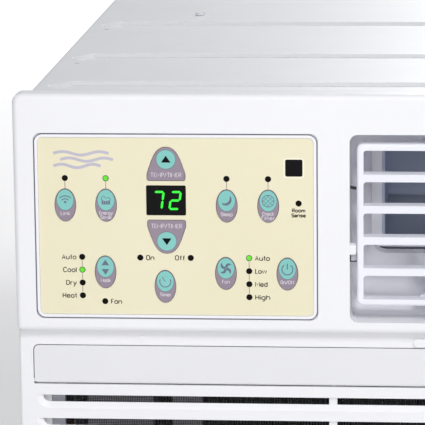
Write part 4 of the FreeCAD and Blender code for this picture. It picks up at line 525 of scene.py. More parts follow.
class Finishes:
    """Every finish of the unit, by the name of what it covers."""

    # The paler edge tones of the white mouldings below are painted edge highlight.
    BODY = Finish("white_moulding", swatch(243, 243, 246), swatch(232, 232, 237), drift=0.25,
                  roughness=0.34, bump=0.06, dust=0.03, edge_wear_and_highlight=0.25,
                  edge_tone=swatch(252, 252, 255), coat=0.08)
    # Same white moulding as the front, set darker: painted shade standing in for the shade below
    # the overhanging upper front.
    DOOR_PAINTED_SHADE = Finish("door_moulding_painted_shade", swatch(233, 233, 236), swatch(224, 224, 228), drift=0.25,
                  roughness=0.36, bump=0.06, dust=0.03, edge_wear_and_highlight=0.25, edge_tone=swatch(246, 246, 248),
                  coat=0.05)
    LOUVER = Finish("louver_moulding", swatch(240, 241, 248), swatch(226, 228, 238), drift=0.3,
                    roughness=0.38, bump=0.05, edge_wear_and_highlight=0.3, edge_tone=swatch(250, 250, 255))
    BEZEL = Finish("bezel_moulding", swatch(244, 244, 249), swatch(236, 236, 243), drift=0.2,
                   roughness=0.26, bump=0.03, coat=0.25, edge_wear_and_highlight=0.3, edge_tone=swatch(255, 255, 255))
    FILTER_FRAME = Finish("filter_frame_moulding", swatch(206, 206, 216), swatch(188, 189, 202),
                          drift=0.3, roughness=0.5, bump=0.1, dust=0.15)
    NYLON = Finish("filter_strand_nylon", swatch(58, 56, 61), swatch(76, 73, 79), drift=0.5,
                   roughness=0.55, fine=5200.0, bump=0.1, dust=0.3)
    FILM = Finish("printed_film", swatch(238, 231, 201), swatch(232, 224, 190), drift=0.35,
                  roughness=0.42, fine=3600.0, bump=0.05, coat=0.15, coat_roughness=0.3)
    KEY = Finish("key_mauve", swatch(151, 136, 151), swatch(139, 125, 141), drift=0.4,
                 roughness=0.45, fine=4200.0, bump=0.08, coat=0.1)
    TEAL = Finish("print_teal", swatch(132, 203, 196), swatch(118, 190, 184), drift=0.5,
                  roughness=0.4, fine=4600.0, bump=0.06, coat=0.2)
    TEAL_RIM = Finish("print_teal_rim", swatch(112, 128, 140), swatch(102, 118, 130), drift=0.4,
                      roughness=0.45, fine=4600.0, bump=0.05)
    ICON = Finish("print_icon", swatch(104, 112, 134), swatch(94, 102, 122), drift=0.4,
                  roughness=0.5, fine=4600.0, bump=0.05)
    INK = Finish("print_ink", swatch(26, 24, 20), swatch(40, 37, 32), drift=0.4,
                 roughness=0.6, fine=4600.0, bump=0.05, specular=0.1)
    BLACK_INK = Finish("print_black", swatch(14, 12, 16), swatch(28, 26, 30), drift=0.3,
                       roughness=0.6, fine=4600.0, bump=0.05, specular=0.08)
    PALE_INK = Finish("print_pale", swatch(226, 220, 230), swatch(210, 204, 216), drift=0.4,
                      roughness=0.5, fine=4600.0, bump=0.05)
    LINE_INK = Finish("print_line", swatch(150, 138, 138), swatch(138, 126, 126), drift=0.3,
                      roughness=0.5, fine=4600.0, bump=0.05)
    HALO_INK = Finish("print_halo", swatch(250, 246, 226), swatch(244, 240, 216), drift=0.3,
                      roughness=0.5, fine=4600.0, bump=0.05)
    MARK = Finish("print_mark", swatch(196, 191, 206), swatch(184, 179, 196), drift=0.4,
                  roughness=0.42, fine=4600.0, bump=0.05, coat=0.2)
    WINDOW = Finish("smoked_window", swatch(11, 9, 11), swatch(20, 18, 20), drift=0.4,
                    roughness=0.28, fine=3000.0, bump=0.03, specular=0.12)
    LENS = Finish("dark_lens", swatch(12, 9, 10), swatch(26, 20, 22), drift=0.5,
                  roughness=0.42, fine=3000.0, bump=0.03, specular=0.08)
    LIT_LENS = LampFinish("lit_lens", swatch(84, 208, 20), swatch(120, 236, 30), drift=0.4,
                          roughness=0.25, coat=0.4, fine=3000.0, bump=0.02, strength=0.16)
    LENS_RIM = Finish("lens_rim", swatch(62, 128, 24), swatch(48, 104, 20), drift=0.5,
                      roughness=0.4, fine=3000.0, bump=0.03, coat=0.3)
    # Grey ovals at the trough ends: painted shade standing in for the shaded rounded ends of the
    # troughs.
    TROUGH_END_SHADE = Finish("trough_end_shade", swatch(166, 168, 174), swatch(150, 152, 160), drift=0.5,
                   roughness=0.6, fine=2600.0, bump=0.1, specular=0.2)
    # Dark line in the gap round the control bezel: painted shade.
    GAP_SHADE = Finish("gap_shade", swatch(112, 112, 124), swatch(96, 97, 110), drift=0.5,
                 roughness=0.8, fine=2600.0, bump=0.1, specular=0.1)
    DIGIT = LampFinish("lit_bar", swatch(24, 222, 38), swatch(70, 245, 70), drift=0.4,
                       roughness=0.35, fine=3000.0, bump=0.02, strength=0.5)
    BOARD = Finish("solder_mask", swatch(34, 92, 52), swatch(24, 74, 40), drift=0.5,
                   roughness=0.38, fine=1500.0, bump=0.12, coat=0.3, dust=0.1)
    # Also worn by the dark lines beside the louvre pivot, which are painted shade.
    SWITCH_AND_PAINTED_SHADE = Finish("switch_moulding_and_painted_shade", swatch(32, 32, 35), swatch(48, 48, 52), drift=0.4,
                    roughness=0.5, bump=0.12)
    # Duct and scroll colours are lifted and tinted blue: painted light standing in for the soft
    # blue fill inside the outlet.
    DUCT_PAINTED_LIGHT = Finish("duct_moulding_painted_light", swatch(248, 248, 253), swatch(238, 239, 248), drift=0.5,
                  roughness=0.5, bump=0.12, dust=0.05)
    SCROLL_PAINTED_LIGHT = Finish("scroll_moulding_painted_light", swatch(214, 222, 242), swatch(198, 207, 230), drift=0.5,
                    roughness=0.55, bump=0.12, dust=0.1)
    WHEEL = Finish("fan_moulding", swatch(54, 56, 60), swatch(72, 74, 78), drift=0.4,
                   roughness=0.48, bump=0.1, dust=0.25, edge_wear_and_highlight=0.3, edge_tone=swatch(110, 112, 118))
    SHROUD = ZincFinish("shroud_zinc", swatch(178, 182, 188), swatch(138, 142, 150),
                        metallic=0.85, flake=170.0, dust=0.15, bump=0.12)
    PAN = ZincFinish("pan_zinc", swatch(190, 194, 199), swatch(146, 150, 157), metallic=0.85,
                     flake=120.0, dust=0.2, bump=0.14)
    SHAFT = DrawnFinish("ground_steel", swatch(196, 198, 202), swatch(146, 148, 152),
                        metallic=1.0, drift=0.4, bump=0.08)
    MOTOR = Finish("motor_paint", swatch(62, 66, 72), swatch(50, 54, 60), drift=0.5,
                   roughness=0.42, bump=0.14, dust=0.2, edge_wear_and_highlight=0.5, edge_tone=swatch(150, 152, 156))
    SHELL = Finish("shell_paint", swatch(24, 24, 26), swatch(38, 38, 42), drift=0.5,
                   roughness=0.36, bump=0.16, dust=0.25, edge_wear_and_highlight=0.4, edge_tone=swatch(110, 108, 106))
    # Strong, wide white edge tone: painted highlight along the ridges of the cover's stamped
    # troughs.
    CABINET = Finish("cabinet_powder_coat", swatch(220, 222, 225), swatch(211, 213, 218),
                     drift=0.3, roughness=0.46, fine=1500.0, swell=320.0, bump=0.16,
                     dust=0.05, edge_wear_and_highlight=0.95, reach=0.0018, edge_tone=swatch(255, 255, 255))
    GUARD = Finish("guard_dip_coat", swatch(206, 208, 212), swatch(188, 190, 196), drift=0.4,
                   roughness=0.35, fine=900.0, bump=0.14, dust=0.15, edge_wear_and_highlight=0.4,
                   edge_tone=swatch(232, 232, 234))
    FOIL = DrawnFinish("fin_foil", swatch(206, 210, 214), swatch(158, 164, 170), metallic=0.9,
                       drift=0.3, across=1200.0, dust=0.15, bump=0.1)
    COPPER = DrawnFinish("drawn_copper", swatch(196, 120, 82), swatch(132, 70, 46),
                         metallic=1.0, drift=0.45, dust=0.1, bump=0.08)
    RUBBER = Finish("grommet_rubber", swatch(26, 26, 27), swatch(40, 40, 40), drift=0.5,
                    roughness=0.75, bump=0.2, dust=0.25, specular=0.3)
    CAN = DrawnFinish("capacitor_can", swatch(200, 203, 207), swatch(160, 164, 170),
                      metallic=1.0, drift=0.3, bump=0.06)
    SCREW = Finish("painted_screw", swatch(226, 229, 234), swatch(206, 209, 215), drift=0.4,
                   roughness=0.4, bump=0.08, edge_wear_and_highlight=0.5, edge_tone=swatch(170, 172, 176))
    SEAL = Finish("seal_foam", swatch(240, 236, 244), swatch(226, 222, 232), drift=0.5,
                  roughness=0.85, fine=900.0, bump=0.3, specular=0.2)
    COIL = DrawnFinish("heater_wire", swatch(150, 146, 142), swatch(104, 92, 86),
                       metallic=1.0, drift=0.5, bump=0.1)
    FLOOR = Finish("floor_paint", swatch(250, 250, 250), swatch(246, 246, 247), drift=0.3,
                   roughness=0.8, fine=40.0, swell=6.0, bump=0.02, specular=0.2)


NODE_FINISHES: dict[str, Finish] = {
    "front_panel": Finishes.BODY, "filter_door": Finishes.DOOR_PAINTED_SHADE,
    "louver_frame_left": Finishes.LOUVER, "louver_frame_right": Finishes.LOUVER,
    "vane_link_left": Finishes.LOUVER, "vane_link_right": Finishes.LOUVER,
    "control_bezel": Finishes.BEZEL, "control_overlay": Finishes.FILM,
    "air_filter_frame": Finishes.FILTER_FRAME, "display_window": Finishes.WINDOW,
    "display_digits": Finishes.DIGIT, "receiver_window": Finishes.WINDOW,
    "indicator_lenses_dark": Finishes.LENS, "indicator_lenses_lit": Finishes.LIT_LENS,
    "control_board": Finishes.BOARD, "tact_switches": Finishes.SWITCH_AND_PAINTED_SHADE,
    "discharge_duct": Finishes.DUCT_PAINTED_LIGHT, "scroll_housing": Finishes.SCROLL_PAINTED_LIGHT,
    "blower_wheel": Finishes.WHEEL, "condenser_fan": Finishes.WHEEL,
    "condenser_shroud": Finishes.SHROUD, "motor_shaft": Finishes.SHAFT,
    "fan_motor": Finishes.MOTOR, "motor_bracket": Finishes.PAN, "cabinet": Finishes.CABINET,
    "base_pan": Finishes.PAN, "bulkhead": Finishes.PAN,
    "coil_return_bends": Finishes.COPPER, "drain_tray": Finishes.DUCT_PAINTED_LIGHT,
    "compressor_shell": Finishes.SHELL, "compressor_grommets": Finishes.RUBBER,
    "accumulator": Finishes.SHELL, "discharge_pipe": Finishes.COPPER,
    "suction_pipe": Finishes.COPPER, "capillary_tube": Finishes.COPPER,
    "control_box": Finishes.PAN, "run_capacitor": Finishes.CAN,
    "heater_element": Finishes.COIL, "cord_gland": Finishes.RUBBER,
    "cabinet_screws": Finishes.SCREW,
}


# ------------------------------------------------------------------ mesh making

class Fabric:
    """Gathers the points and faces of one piece and turns them into an object."""

    def __init__(self, name: str) -> None:
        """Start an empty piece of that name."""
        self.name = name
        self.points: list[Point] = []
        self.faces: list[tuple[int, ...]] = []

    def add(self, points: Iterable[Point], faces: Iterable[Sequence[int]]) -> None:
        """Add points, and faces that count from the first of them."""
        start = len(self.points)
        self.points.extend(tuple(p) for p in points)
        self.faces.extend(tuple(start + i for i in face) for face in faces)

    def box(self, low: Point, high: Point) -> None:
        """Add a closed block between two corners."""
        xs, ys, zs = zip(low, high)
        corners = [(x, y, z) for x in xs for y in ys for z in zs]
        self.add(corners, [(0, 1, 3, 2), (4, 6, 7, 5), (0, 4, 5, 1), (2, 3, 7, 6),
                           (0, 2, 6, 4), (1, 5, 7, 3)])

    def decal(self, outline: Sequence[tuple[float, float]], front: float, back: float) -> None:
        """Add a flat print: an outline across and up, with its face to the room.

        Args:
            outline: Corners in X and Z, anticlockwise as the user sees them.
            front: Y of the printed face.
            back: Y of its underside.
        """
        count = len(outline)
        near = [(x, front, z) for x, z in outline]
        far = [(x, back, z) for x, z in outline]
        sides = [(i, i + count, (i + 1) % count + count, (i + 1) % count)
                 for i in range(count)]
        self.add(near + far, [tuple(range(count))] + sides)

    def stroke(self, line: Sequence[tuple[float, float]], width: float, front: float,
               back: float, closed: bool = False) -> None:
        """Add a printed line of even width.

        Args:
            line: Points in X and Z that the line follows.
            width: Its width.
            front: Y of the printed face.
            back: Y of its underside.
            closed: Whether the line joins its own start.
        """
        count = len(line)
        left, right = [], []
        for i, (x, z) in enumerate(line):
            before = line[i - 1] if i or closed else line[i]
            after = line[(i + 1) % count] if i < count - 1 or closed else line[i]
            run = Vector((after[0] - before[0], after[1] - before[1]))
            run.normalize()
            side = Vector((-run.y, run.x)) * width / 2
            left.append((x + side.x, z + side.y))
            right.append((x - side.x, z - side.y))
        spans = range(count if closed else count - 1)
        for i in spans:
            j = (i + 1) % count
            self.decal([left[i], right[i], right[j], left[j]], front, back)

    def tube(self, line: Sequence[Point], radius: float, sides: int = 10) -> None:
        """Add a capped round bar along a line of points.

        Args:
            line: Points on the bar's axis.
            radius: Radius of the bar.
            sides: Number of flats round it.
        """
        path = [Vector(p) for p in line]
        rings = []
        upright = Vector((0.0, 0.0, 1.0))
        first = (path[1] - path[0]).normalized()
        normal = first.cross(upright if abs(first.z) < 0.9 else Vector((0.0, 1.0, 0.0)))
        for i, centre in enumerate(path):
            run = (path[min(i + 1, len(path) - 1)] - path[max(i - 1, 0)]).normalized()
            normal = (normal - run * normal.dot(run)).normalized()
            other = run.cross(normal)
            rings.append([centre + (normal * math.cos(t) + other * math.sin(t)) * radius
                          for t in (2 * math.pi * k / sides for k in range(sides))])
        points = [p for ring in rings for p in ring]
        faces = [(i * sides + k, i * sides + (k + 1) % sides,
                  (i + 1) * sides + (k + 1) % sides, (i + 1) * sides + k)
                 for i in range(len(path) - 1) for k in range(sides)]
        last = (len(path) - 1) * sides
        faces.append(tuple(reversed(range(sides))))
        faces.append(tuple(last + k for k in range(sides)))
        self.add(points, faces)

    def piece(self, finish: Finish, body: str, smooth: bool = False,
              bevel: float = 0.0) -> bpy.types.Object:
        """Make the object, dress it and let it ride.

        Args:
            finish: What covers it.
            body: The body that carries it.
            smooth: Whether its faces are shaded as one curved skin.
            bevel: Width of a rounded edge, or 0 for none.

        Returns:
            The new object.
        """
        mesh = bpy.data.meshes.new(self.name)
        mesh.from_pydata([tuple(p) for p in self.points], [], self.faces)
        mesh.validate()
        mesh.materials.append(finish.material())
        made = bpy.data.objects.new(self.name, mesh)
        bpy.context.scene.collection.objects.link(made)
        if bevel > 0:
            rounding = made.modifiers.new("rounding", "BEVEL")
            rounding.width = bevel
            rounding.segments = 2
            rounding.limit_method = "ANGLE"
        if smooth:
            mesh.shade_smooth()
        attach(made, body)
        LOG.info("%s: %d faces, rides %s", self.name, len(self.faces), body)
        return made


def oval_line(x: float, z: float, width: float, height: float,
              count: int = 48) -> list[tuple[float, float]]:
    """Points round an ellipse, anticlockwise.

    Args:
        x: Centre across.
        z: Centre up.
        width: Full width.
        height: Full height.
        count: Number of points.

    Returns:
        The points.
    """
    return [(x + width / 2 * math.cos(t), z + height / 2 * math.sin(t))
            for t in (2 * math.pi * k / count for k in range(count))]


def arc_line(x: float, z: float, radius: float, start: float, end: float,
             count: int = 20) -> list[tuple[float, float]]:
    """Points along an arc, in degrees from +X.

    Args:
        x: Centre across.
        z: Centre up.
        radius: Radius of the arc.
        start: Angle of the first point.
        end: Angle of the last point.
        count: Number of points.

    Returns:
        The points.
    """
    return [(x + radius * math.cos(math.radians(start + (end - start) * k / (count - 1))),
             z + radius * math.sin(math.radians(start + (end - start) * k / (count - 1))))
            for k in range(count)]


class Align(Enum):
    """Where a label's anchor lies in it."""

    LEFT = "LEFT"
    CENTRE = "CENTER"
    RIGHT = "RIGHT"


@dataclass(frozen=True)
class Alphabet:
    """Plain one-line letters, drawn on a grid of five by nine.

    Each letter is its width and its strokes. A stroke is a run of places, across then up, where
    2 is the foot of the letters, 6 the top of a small one and 8 that of a capital.
    """

    foot: int = 2
    head: int = 8
    gap: float = 1.7
    letters: dict[str, tuple[int, str]] = field(default_factory=lambda: {
        "A": (4, "02 28 42|14 34"), "C": (4, "47 38 18 07 03 12 32 43"),
        "D": (4, "02 08 28 47 43 22 02"), "E": (3, "38 08 02 32|05 25"),
        "F": (3, "02 08 38|05 25"), "H": (4, "02 08|42 48|05 45"), "I": (0, "02 08"),
        "L": (3, "08 02 32"), "M": (6, "02 08 34 68 62"),
        "O": (4, "12 32 43 47 38 18 07 03 12"), "P": (4, "02 08 38 47 46 35 05"),
        "R": (4, "02 08 38 47 46 35 05|25 42"), "S": (4, "47 38 18 07 06 15 35 44 43 32 12 03"),
        "T": (4, "08 48|28 22"), "a": (4, "42 46|45 36 16 05 03 12 32 43"),
        "c": (4, "45 36 16 05 03 12 32 43"), "d": (4, "48 42|45 36 16 05 03 12 32 43"),
        "e": (4, "04 44 45 36 16 05 03 12 32 43"), "f": (2, "12 17 28|06 26"),
        "g": (4, "46 41 30 10|45 36 16 05 03 12 32 43"), "h": (4, "02 08|05 16 36 45 42"),
        "i": (0, "02 06|07 08"), "k": (3, "08 02|36 04 32"), "l": (0, "08 02"),
        "m": (6, "02 06|05 16 26 35 32|35 46 56 65 62"), "n": (4, "02 06|05 16 36 45 42"),
        "o": (4, "12 32 43 45 36 16 05 03 12"), "p": (4, "00 06|05 16 36 45 43 32 12 03"),
        "r": (2, "02 06|05 16 26"), "s": (4, "45 36 16 05 14 34 43 32 12 03"),
        "t": (2, "18 13 22|06 26"), "u": (4, "06 03 12 32 43|46 42"), "v": (4, "06 22 46"),
        "w": (6, "06 12 36 52 66"), "y": (4, "06 22|46 10 00"), "/": (3, "02 38")})

    def lines(self, words: str) -> tuple[float, list[list[tuple[float, float]]]]:
        """Set a word on the grid.

        Args:
            words: The word.

        Returns:
            Its width on the grid, and its strokes with the foot of the letters at nought.
        """
        across = 0.0
        made = []
        for letter in words:
            width, strokes = self.letters[letter]
            for stroke in strokes.split("|"):
                made.append([(across + int(place[0]), int(place[1]) - self.foot)
                             for place in stroke.split()])
            across += width + self.gap
        return across - self.gap, made


@dataclass(frozen=True)
class Label:
    """A printed word: anchor across and up, cap height, full width, in metres."""

    words: str
    across: float
    up: float
    cap: float
    width: float
    align: Align = Align.CENTRE

    def strokes(self, alphabet: Alphabet) -> list[list[tuple[float, float]]]:
        """Place the word's strokes.

        Args:
            alphabet: The letters it is set in.

        Returns:
            Its strokes in X and Z.
        """
        span, lines = alphabet.lines(self.words)
        wide = self.width / span
        tall = self.cap / (alphabet.head - alphabet.foot)
        start = self.across + {Align.LEFT: 0.0, Align.CENTRE: -0.5,
                               Align.RIGHT: -1.0}[self.align] * self.width
        return [[(start + x * wide, self.up - self.cap / 2 + y * tall) for x, y in line]
                for line in lines]


# ------------------------------------------------------------------ sub-assemblies

@dataclass
class Skins:
    """Dresses every carried-over node."""

    def build(self) -> None:
        """Give each node its finish."""
        for name, finish in NODE_FINISHES.items():
            self.dress(name, finish)
        for name in frame["nodes"]:
            if name.startswith("button_"):
                self.dress(name, Finishes.KEY)
            if name.startswith("vane_left_") or name.startswith("vane_right_"):
                self.dress(name, Finishes.LOUVER)

    def dress(self, name: str, finish: Finish) -> None:
        """Put one finish on one node."""
        node = frame["nodes"][name]
        node.data.materials.clear()
        node.data.materials.append(finish.material())
        LOG.info("%s wears %s", name, finish.name)


@dataclass
class ControlPrint:
    """Everything printed on the control film and on its keys."""

    ink: float = 0.00004
    lift: float = 0.00003
    oval_width: float = 0.0124
    oval_height: float = 0.0153
    oval_raise: float = 0.0038
    disc_radius: float = 0.0070
    rim: float = 0.0005
    cap: float = 0.0032
    key_cap: float = 0.0024
    line_width: float = 0.0005
    pen: float = 0.0006
    key_pen: float = 0.00042
    alphabet: Alphabet = field(default_factory=Alphabet)

    def build(self) -> None:
        """Print the film, then the keys."""
        low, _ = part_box("control_overlay")
        self.left, self.foot, self.face = low.x, low.z, low.y
        self.print_words()
        self.print_lines()
        self.print_rims()
        self.print_mark()
        self.print_halo()
        self.print_keys()

    def on_film(self, across: float, up: float) -> tuple[float, float]:
        """Turn a place in millimetres on the control panel into X and Z."""
        return self.left + (across - 2.7) * MM, self.foot + (up - 2.7) * MM

    def words(self, name: str, labels: Iterable[Label], finish: Finish, face: float, body: str,
              slot: str, width: float) -> None:
        """Print several words as one piece.

        Args:
            name: Name of the piece.
            labels: The words, placed in X and Z.
            finish: Their ink.
            face: Y of the surface they lie on.
            body: The body that carries them.
            slot: Not used.
            width: Width of the strokes.
        """
        cloth = Fabric(name)
        front = face - self.lift - self.ink
        for label in labels:
            for line in label.strokes(self.alphabet):
                cloth.stroke(line, width, front, front + self.ink)
        cloth.piece(finish, body)

    def print_words(self) -> None:
        """Print the labels beside the lamps."""
        gap = 4.5
        rows: list[tuple[str, float, float, float, Align]] = [
            ("Auto", 33.5 - gap, 45.0, 10.0, Align.RIGHT),
            ("Cool", 33.5 - gap, 35.5, 9.2, Align.RIGHT),
            ("Dry", 33.5 - gap, 26.0, 7.2, Align.RIGHT),
            ("Heat", 33.5 - gap, 16.5, 10.0, Align.RIGHT),
            ("Fan", 49.7 + gap, 12.3, 7.4, Align.LEFT),
            ("On", 75.7 + gap, 44.8, 5.4, Align.LEFT),
            ("Off", 112.2 - gap, 44.8, 6.6, Align.RIGHT),
            ("Auto", 154.3 + gap, 45.0, 10.2, Align.LEFT),
            ("Low", 154.3 + gap, 35.4, 7.9, Align.LEFT),
            ("Med", 154.3 + gap, 25.8, 8.4, Align.LEFT),
            ("High", 154.3 + gap, 16.2, 10.2, Align.LEFT)]
        labels = []
        for text, across, up, width, align in rows:
            x, z = self.on_film(across, up)
            labels.append(Label(text, x, z, self.cap, width * MM, align))
        for text, drop, width in (("Room", 5.1, 9.0), ("Sense", 8.7, 9.8)):
            x, z = self.on_film(190.1, 85.2 - drop)
            labels.append(Label(text, x, z, self.key_cap, width * MM))
        self.words("lamp_labels", labels, Finishes.INK, self.face, "chassis", "switch_black",
                   self.pen)

    def print_lines(self) -> None:
        """Print the thin lines that tie lamps to keys and to each other."""
        cloth = Fabric("lamp_lines")
        front = self.face - self.lift
        spans = [(22.0, 100.4, 95.2), (51.5, 100.4, 95.2), (138.5, 100.4, 95.2),
                 (168.3, 100.4, 95.2)]
        for across, rows in ((33.5, (45.0, 35.5, 26.0, 16.5)), (154.3, (45.0, 35.4, 25.8, 16.2))):
            spans += [(across, high - 2.6, low + 2.6) for high, low in zip(rows, rows[1:])]
        for across, high, low in spans:
            x, top = self.on_film(across, high)
            _, bottom = self.on_film(across, low)
            cloth.stroke([(x, top), (x, bottom)], self.line_width, front, self.face)
        cloth.piece(Finishes.LINE_INK, "chassis")

    def print_rims(self) -> None:
        """Ring each lit lens with the darker edge of its lamp hole."""
        cloth = Fabric("lit_lens_rims")
        front = self.face - self.lift
        for across, up in ((51.5, 102.8), (33.5, 35.5), (154.3, 45.0)):
            x, z = self.on_film(across, up)
            cloth.stroke(oval_line(x, z, 0.0040, 0.0040, 28), 0.0006, front,
                         front + self.ink / 2, True)
        cloth.piece(Finishes.LENS_RIM, "chassis")

    def print_mark(self) -> None:
        """Print a plain mark of three drifting air lines."""
        cloth = Fabric("air_mark")
        front = self.face - self.lift
        for row, (start, length) in enumerate(((14.0, 40.0), (19.0, 38.0), (14.0, 34.0))):
            line = []
            for k in range(41):
                share = k / 40
                across = start + length * share
                up = 120.9 - 4.6 * row + 1.25 * math.sin(share * 3.0 * math.pi)
                line.append(self.on_film(across, up))
            cloth.stroke(line, 0.0021, front, self.face)
        cloth.piece(Finishes.MARK, "chassis")

    def print_halo(self) -> None:
        """Print the pale border round the receiver window."""
        low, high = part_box("receiver_window")
        cloth = Fabric("receiver_border")
        grow, corner = 0.0009, 0.0016
        x0, x1, z0, z1 = low.x - grow, high.x + grow, low.z - grow, high.z + grow
        line = (arc_line(x1 - corner, z1 - corner, corner, 0, 90, 6)
                + arc_line(x0 + corner, z1 - corner, corner, 90, 180, 6)
                + arc_line(x0 + corner, z0 + corner, corner, 180, 270, 6)
                + arc_line(x1 - corner, z0 + corner, corner, 270, 360, 6))
        cloth.stroke(line, 0.0010, self.face - self.lift, self.face, closed=True)
        cloth.piece(Finishes.HALO_INK, "chassis")

    def print_keys(self) -> None:
        """Print the teal patch, the icon and the word of each key."""
        words = {"connect": ("Link",), "energy": ("Energy", "Saver"), "sleep": ("Sleep",),
                 "filter": ("Check", "Filter"), "mode": ("Mode",), "timer": ("Timer",),
                 "fan": ("Fan",), "power": ("On/Off",)}
        for name, lines in words.items():
            low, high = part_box("button_" + name)
            x, z = (low.x + high.x) / 2, (low.z + high.z) / 2
            body = "key_" + name
            self.patch(name, x, z + self.oval_raise, low.y, self.oval_width, self.oval_height)
            icon = Fabric("icon_" + name)
            draw = getattr(self, "icon_" + name)
            draw(icon, x, z + self.oval_raise, low.y - 2 * self.lift - 0.00001)
            icon.piece(Finishes.ICON, body)
            top = z - 0.0060 if len(lines) == 1 else z - 0.0055
            labels = [Label(text, x, top - 0.0031 * row, self.key_cap,
                            0.0014 * len(text) + 0.0010) for row, text in enumerate(lines)]
            self.words("word_" + name, labels, Finishes.PALE_INK, low.y, body, "button_mauve",
                       self.key_pen)
        for name, way in (("up", 1), ("down", -1)):
            self.print_dome(name, way)

    def patch(self, name: str, x: float, z: float, face: float, width: float,
              height: float) -> None:
        """Print a teal patch with its darker rim.

        Args:
            name: Name of the key.
            x: Centre across.
            z: Centre up.
            face: Y of the key's face.
            width: Width of the patch.
            height: Height of the patch.
        """
        body = "key_" + name
        rim = Fabric("rim_" + name)
        rim.stroke(oval_line(x, z, width, height), self.rim, face - self.lift, face, True)
        rim.piece(Finishes.TEAL_RIM, body)
        teal = Fabric("patch_" + name)
        inner = self.rim * 0.8
        teal.decal(oval_line(x, z, width - inner, height - inner), face - self.lift * 1.2, face)
        teal.piece(Finishes.TEAL, body)

    def print_dome(self, name: str, way: int) -> None:
        """Print a temperature key: round patch, arrow and words.

        Args:
            name: up or down.
            way: 1 where the key points up, -1 where it points down.
        """
        low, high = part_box("button_" + name)
        x = (low.x + high.x) / 2
        nose = high.z if way > 0 else low.z
        base = low.z if way > 0 else high.z
        z = nose - way * 0.0088
        self.patch(name, x, z, low.y, 2 * self.disc_radius, 2 * self.disc_radius)
        arrow = Fabric("arrow_" + name)
        foot, tip = z - way * 0.0022, z + way * 0.0028
        points = [(x - 0.0034, foot), (x + 0.0034, foot), (x, tip)]
        front = low.y - 2 * self.lift - 0.00001
        arrow.decal(points if way > 0 else points[::-1], front, low.y)
        arrow.piece(Finishes.BLACK_INK, "key_" + name)
        label = Label("TEMP/TIMER", x, base + way * 0.0042, 0.0030, 0.0218)
        self.words("word_" + name, [label], Finishes.PALE_INK, low.y, "key_" + name,
                   "button_mauve", self.key_pen)

    def icon_connect(self, cloth: Fabric, x: float, z: float, front: float) -> None:
        """Two arcs over a dot."""
        foot = z - 0.0028
        for radius in (0.0058, 0.0036):
            cloth.stroke(arc_line(x, foot, radius, 45, 135), 0.0007, front, front + self.ink)
        cloth.decal(oval_line(x, foot + 0.0012, 0.0018, 0.0018, 16), front, front + self.ink)

    def icon_energy(self, cloth: Fabric, x: float, z: float, front: float) -> None:
        """A small house with a saw roof over four bars."""
        back = front + self.ink
        foot = z - 0.0032
        for k, tall in enumerate((0.0030, 0.0026, 0.0026, 0.0030)):
            left = x - 0.0031 + 0.0016 * k
            cloth.decal([(left, foot), (left + 0.0013, foot), (left + 0.0013, foot + tall),
                         (left, foot + tall)], front, back)
        roof = [(x - 0.0031, z - 0.0002), (x - 0.0031, z + 0.0022), (x - 0.0018, z + 0.0032),
                (x, z + 0.0014), (x + 0.0016, z + 0.0022), (x + 0.0031, z + 0.0010),
                (x + 0.0031, z - 0.0002)]
        cloth.stroke(roof, 0.0005, front, back)

    def icon_sleep(self, cloth: Fabric, x: float, z: float, front: float) -> None:
        """A crescent moon."""
        outer = arc_line(x - 0.0006, z + 0.0008, 0.0042, -130, 32, 24)
        inner = arc_line(x - 0.0018, z + 0.0022, 0.0041, 16, -112, 24)
        cloth.decal(outer + inner, front, front + self.ink)

    def icon_filter(self, cloth: Fabric, x: float, z: float, front: float) -> None:
        """A ring with a crossed net inside."""
        back = front + self.ink
        radius = 0.0043
        cloth.stroke(oval_line(x, z, 2 * radius, 2 * radius, 36), 0.0005, front, back, True)
        for offset in (-0.0024, 0.0, 0.0024):
            reach = math.sqrt(radius ** 2 - offset ** 2) * 0.98
            for way in (1, -1):
                middle = Vector((x + offset * 0.7071, z - way * offset * 0.7071))
                run = Vector((0.7071, way * 0.7071)) * reach
                ends = [tuple(middle - run), tuple(middle + run)]
                cloth.stroke(ends, 0.0003, front, back)

    def icon_mode(self, cloth: Fabric, x: float, z: float, front: float) -> None:
        """An arrow head up and one down."""
        back = front + self.ink
        cloth.decal([(x - 0.0028, z + 0.0012), (x + 0.0028, z + 0.0012), (x, z + 0.0054)],
                    front, back)
        cloth.decal([(x + 0.0028, z - 0.0016), (x - 0.0028, z - 0.0016), (x, z - 0.0059)],
                    front, back)

    def icon_timer(self, cloth: Fabric, x: float, z: float, front: float) -> None:
        """An open dial with one hand."""
        back = front + self.ink
        cloth.stroke(arc_line(x, z - 0.0002, 0.0040, -205, 25, 30), 0.0007, front, back)
        cloth.stroke([(x - 0.0022, z + 0.0032), (x, z - 0.0002)], 0.0005, front, back)
        for angle in (60, 90, 120):
            spot = arc_line(x, z - 0.0002, 0.0040, angle, angle + 1, 2)[0]
            cloth.decal(oval_line(*spot, 0.0005, 0.0005, 8), front, back)

    def icon_fan(self, cloth: Fabric, x: float, z: float, front: float) -> None:
        """Four swept blades round a hub."""
        back = front + self.ink
        for turn in range(4):
            spin = Matrix.Rotation(math.radians(90 * turn + 20), 2)
            lead = arc_line(0.0024, 0.0005, 0.0025, 180, 20, 12)
            trail = arc_line(0.0034, -0.0010, 0.0024, 70, 165, 10)
            outline = [spin @ Vector(p) for p in (lead + trail)][::-1]
            cloth.decal([(x + p.x, z + p.y) for p in outline], front, back)

    def icon_power(self, cloth: Fabric, x: float, z: float, front: float) -> None:
        """An open ring with a bar in its gap."""
        back = front + self.ink
        cloth.stroke(arc_line(x, z - 0.0004, 0.0039, 125, 415, 30), 0.0008, front, back)
        cloth.stroke([(x, z + 0.0040), (x, z - 0.0003)], 0.0008, front, back)


